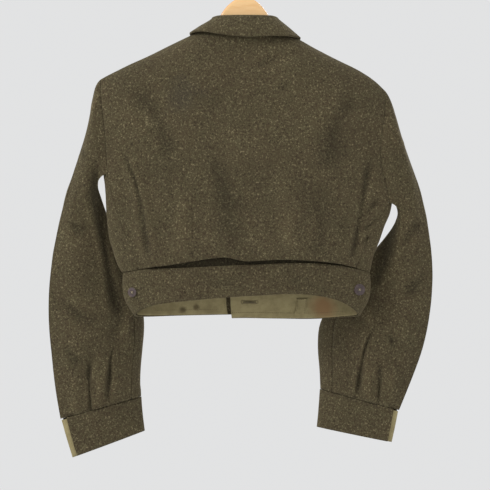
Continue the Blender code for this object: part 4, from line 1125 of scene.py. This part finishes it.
    def work_buttonhole(self) -> None:
        """Works the keyhole buttonhole on the inside of the right front band, and lays a dark
        line along its opening as painted shadow.
        """
        probe = Probe(self.made["band_facing_right"], Face.INSIDE_FRONT)
        start, end, height = 0.0035, -0.0200, -0.5655
        eye, wide = 0.0022, 0.0011
        thread = Sewing("buttonhole_thread", radius=0.0003)
        slit = Sewing("buttonhole_slit")
        outline = []
        for index in range(64):
            share = index / 64.0
            if share < 0.38:
                x, off = start + (end - start) * share / 0.38, wide
            elif share < 0.46:
                turn = math.pi * (share - 0.38) / 0.08
                x, off = end - wide * math.sin(turn), wide * math.cos(turn)
            elif share < 0.84:
                x, off = end + (start - end) * (share - 0.46) / 0.38, -wide
            else:
                turn = math.pi * (share - 0.84) / 0.16
                x, off = start + eye * math.sin(turn), -eye * math.cos(turn)
            outline.append((x, height + off))
        for x, z in outline:
            core = (min(max(x, end), start), height)
            away = Vector((x - core[0], 0.0, z - core[1])).normalized()
            inner = probe.hit(x, z)
            outer = probe.hit(x + away.x * 0.0019, z + away.z * 0.0019)
            if inner and outer:
                thread.stitch(inner[0], outer[0], inner[1], thread.radius)
        # A dark line along the opening paints its shadow.
        dark = line_route(probe, (start + eye * 0.5, height), (end, height), 12)
        if len(dark) > 1:
            slit.stitch(dark[0][0], dark[-1][0], dark[0][1], 0.0007)
        thread.finish(self.finishes.drill_thread, Slot.DRILL)
        slit.finish(self.finishes.slit, Slot.DRILL)


@dataclass
class Button:
    """A dished button with four holes, sewn on with crossed thread."""

    node: str
    finishes: Finishes
    outward: float
    radius: float = 0.0095
    thick: float = 0.0034
    rim: float = 0.0019
    dish: float = 0.0013
    hole: float = 0.00105
    hole_offset: float = 0.0024

    def build(self) -> None:
        """Makes the button and its thread."""
        piece = self.turn_disc()
        self.drill_holes(piece)
        turn, middle = self.seat()
        piece.data.transform(Matrix.Translation(middle) @ turn)
        settle(piece, self.finishes.plastic, Slot.PLASTIC, self.node)
        report(piece)
        self.tie(turn, middle)

    def turn_disc(self) -> bpy.types.Object:
        """Shapes the dished disc about the world's origin."""
        deselect_all()
        bpy.ops.mesh.primitive_cylinder_add(vertices=56, radius=self.radius, depth=self.thick,
                                            location=(0.0, 0.0, self.thick / 2.0))
        piece = bpy.context.object
        piece.name = self.node + "_dished"
        bpy.ops.object.transform_apply(location=True, rotation=True, scale=True)
        for face in piece.data.polygons:
            face.select = face.normal.z > 0.9
        bpy.ops.object.mode_set(mode="EDIT")
        bpy.ops.mesh.select_mode(type="FACE")
        bpy.ops.mesh.inset(thickness=self.rim)
        bpy.ops.mesh.inset(thickness=self.rim * 0.7, depth=-self.dish)
        bpy.ops.mesh.inset(thickness=self.rim * 0.5, depth=-self.dish * 0.2)
        bpy.ops.object.mode_set(mode="OBJECT")
        rounding = piece.modifiers.new("rounding", "BEVEL")
        rounding.width = 0.0006
        rounding.segments = 3
        rounding.limit_method = "ANGLE"
        rounding.angle_limit = math.radians(30.0)
        apply_modifiers(piece)
        return piece

    def drill_holes(self, piece: bpy.types.Object) -> None:
        """Cuts the four holes.

        Args:
            piece: The disc.
        """
        for corner in range(4):
            turn = math.radians(45.0 + 90.0 * corner)
            deselect_all()
            bpy.ops.mesh.primitive_cylinder_add(
                vertices=20, radius=self.hole, depth=self.thick * 4.0,
                location=(math.cos(turn) * self.hole_offset,
                          math.sin(turn) * self.hole_offset, 0.0))
            cutter = bpy.context.object
            cut = piece.modifiers.new("hole", "BOOLEAN")
            cut.operation = "DIFFERENCE"
            cut.object = cutter
            apply_modifiers(piece)
            bpy.data.objects.remove(cutter)
        make_active(piece)
        bpy.ops.object.shade_smooth_by_angle(angle=math.radians(32.0))

    def seat(self) -> tuple[Matrix, Vector]:
        """Finds the CAD button's turn and the middle of its back.

        Returns:
            The turn, and the middle of the face that lies on the cloth.
        """
        mesh = frame["nodes"][self.node].data
        points = np.array([vertex.co for vertex in mesh.vertices])
        middle = points.mean(axis=0)
        _, _, axes = np.linalg.svd(points - middle, full_matrices=False)
        normal = Vector(axes[2]).normalized()
        if normal.y * self.outward < 0.0:
            normal.negate()
        low = min((Vector(point) - Vector(middle)).dot(normal) for point in points)
        flat = Vector((-normal.z * normal.x, -normal.z * normal.y,
                       1.0 - normal.z ** 2)).normalized()
        turn = Matrix((flat.cross(normal), flat, normal)).transposed().to_4x4()
        return turn, Vector(middle) + normal * low

    def tie(self, turn: Matrix, middle: Vector) -> None:
        """Sews the button on with two crossed strands.

        Args:
            turn: The button's turn.
            middle: The middle of its back.
        """
        thread = Sewing(self.node + "_thread")
        up = turn.to_3x3() @ Vector((0.0, 0.0, 1.0))
        floor = self.thick - self.dish * 1.2
        reach = self.hole_offset * 1.12
        for corner in range(4):
            angle = math.radians(45.0 + 90.0 * corner)
            ends = []
            for sign in (1.0, -1.0):
                spot = Vector((math.cos(angle) * reach * sign, math.sin(angle) * reach * sign,
                               floor + 0.0001 * corner))
                side = Vector((-math.sin(angle), math.cos(angle), 0.0)) * 0.0003
                ends.append(middle + turn.to_3x3() @ (spot + side))
            thread.stitch(ends[0], ends[1], up, 0.00038)
        thread.finish(self.finishes.button_thread, Slot.PLASTIC)


@dataclass
class Hanger:
    """The wooden hanger and its wire hook."""

    finishes: Finishes

    def build(self) -> None:
        """Makes both pieces."""
        for node, name, material, slot, corner in (
                ("hanger_body", "hanger_shaped_wood", self.finishes.wood, Slot.WOOD, 55.0),
                ("hanger_hook", "hanger_wire_hook", self.finishes.steel, Slot.STEEL, 60.0)):
            piece = refined_copy(node, name, 2, corner)
            settle(piece, material, slot, node)
            report(piece)


@dataclass
class Studio:
    """A pale floor, soft lights and the camera behind the jacket."""

    distance: float = 4.53
    frame_wide: float = 0.8085
    middle_height: float = -0.470
    jacket_depth: float = 0.03
    floor_height: float = -1.30
    world: Colour = (0.76, 0.765, 0.77)

    def build(self) -> None:
        """Makes the floor, the world, the lights and the camera."""
        deselect_all()
        bpy.ops.mesh.primitive_plane_add(size=8.0, location=(0.0, 0.0, self.floor_height))
        floor = bpy.context.object
        floor.name = "pale_floor"
        bpy.ops.object.transform_apply(location=True, rotation=True, scale=True)
        paint = Tree("pale_floor_paint")
        colour = paint.ramp(paint.spots(3.0), ((0.3, (0.74, 0.74, 0.74)),
                                               (0.7, (0.78, 0.78, 0.78))))
        floor.data.materials.append(paint.finish(colour, 0.8))

        world = bpy.data.worlds.new("pale_studio")
        world.use_nodes = True
        ground = world.node_tree.nodes["Background"]
        ground.inputs["Color"].default_value = (*self.world, 1.0)
        ground.inputs["Strength"].default_value = 1.0
        bpy.context.scene.world = world

        self.light("key_light", (2.5, 1.9, 1.2), 52.0, 1.1)
        self.light("fill_light", (-2.4, 2.2, -0.2), 5.0, 1.8)
        self.light("front_light", (-1.5, -2.6, 0.9), 34.0, 1.5)

        lens = bpy.data.cameras.new("photo_camera")
        lens.sensor_width = 36.0
        lens.lens = 36.0 * (self.distance - self.jacket_depth) / self.frame_wide
        camera = bpy.data.objects.new("photo_camera", lens)
        camera.location = (0.0, self.distance, self.middle_height)
        camera.rotation_euler = (math.radians(90.0), 0.0, math.radians(180.0))
        bpy.context.scene.collection.objects.link(camera)
        bpy.context.scene.camera = camera
        bpy.context.scene.view_settings.view_transform = "Standard"

    def light(self, name: str, place: tuple[float, float, float], power: float,
              size: float) -> None:
        """Adds a soft light that points at the jacket.

        Args:
            name: Its name.
            place: Where it stands.
            power: Its power in watts.
            size: Its width.
        """
        lamp = bpy.data.lights.new(name, "AREA")
        lamp.energy = power
        lamp.size = size
        piece = bpy.data.objects.new(name, lamp)
        piece.location = place
        aim = Vector((0.0, 0.0, self.middle_height)) - Vector(place)
        piece.rotation_euler = aim.to_track_quat("-Z", "Y").to_euler()
        bpy.context.scene.collection.objects.link(piece)


def main() -> None:
    """Builds the dressed jacket in order."""
    logging.basicConfig(level=logging.INFO, format="%(message)s")
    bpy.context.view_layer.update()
    deselect_all()
    Studio().build()
    finishes = Finishes.make()
    Blouse(finishes).build()
    for node, outward in (("band_button_left", 1.0), ("band_button_right", 1.0),
                          ("cuff_button_left", -1.0), ("cuff_button_right", -1.0)):
        Button(node, finishes, outward).build()
    Hanger(finishes).build()


if __name__ == "__main__":
    main()
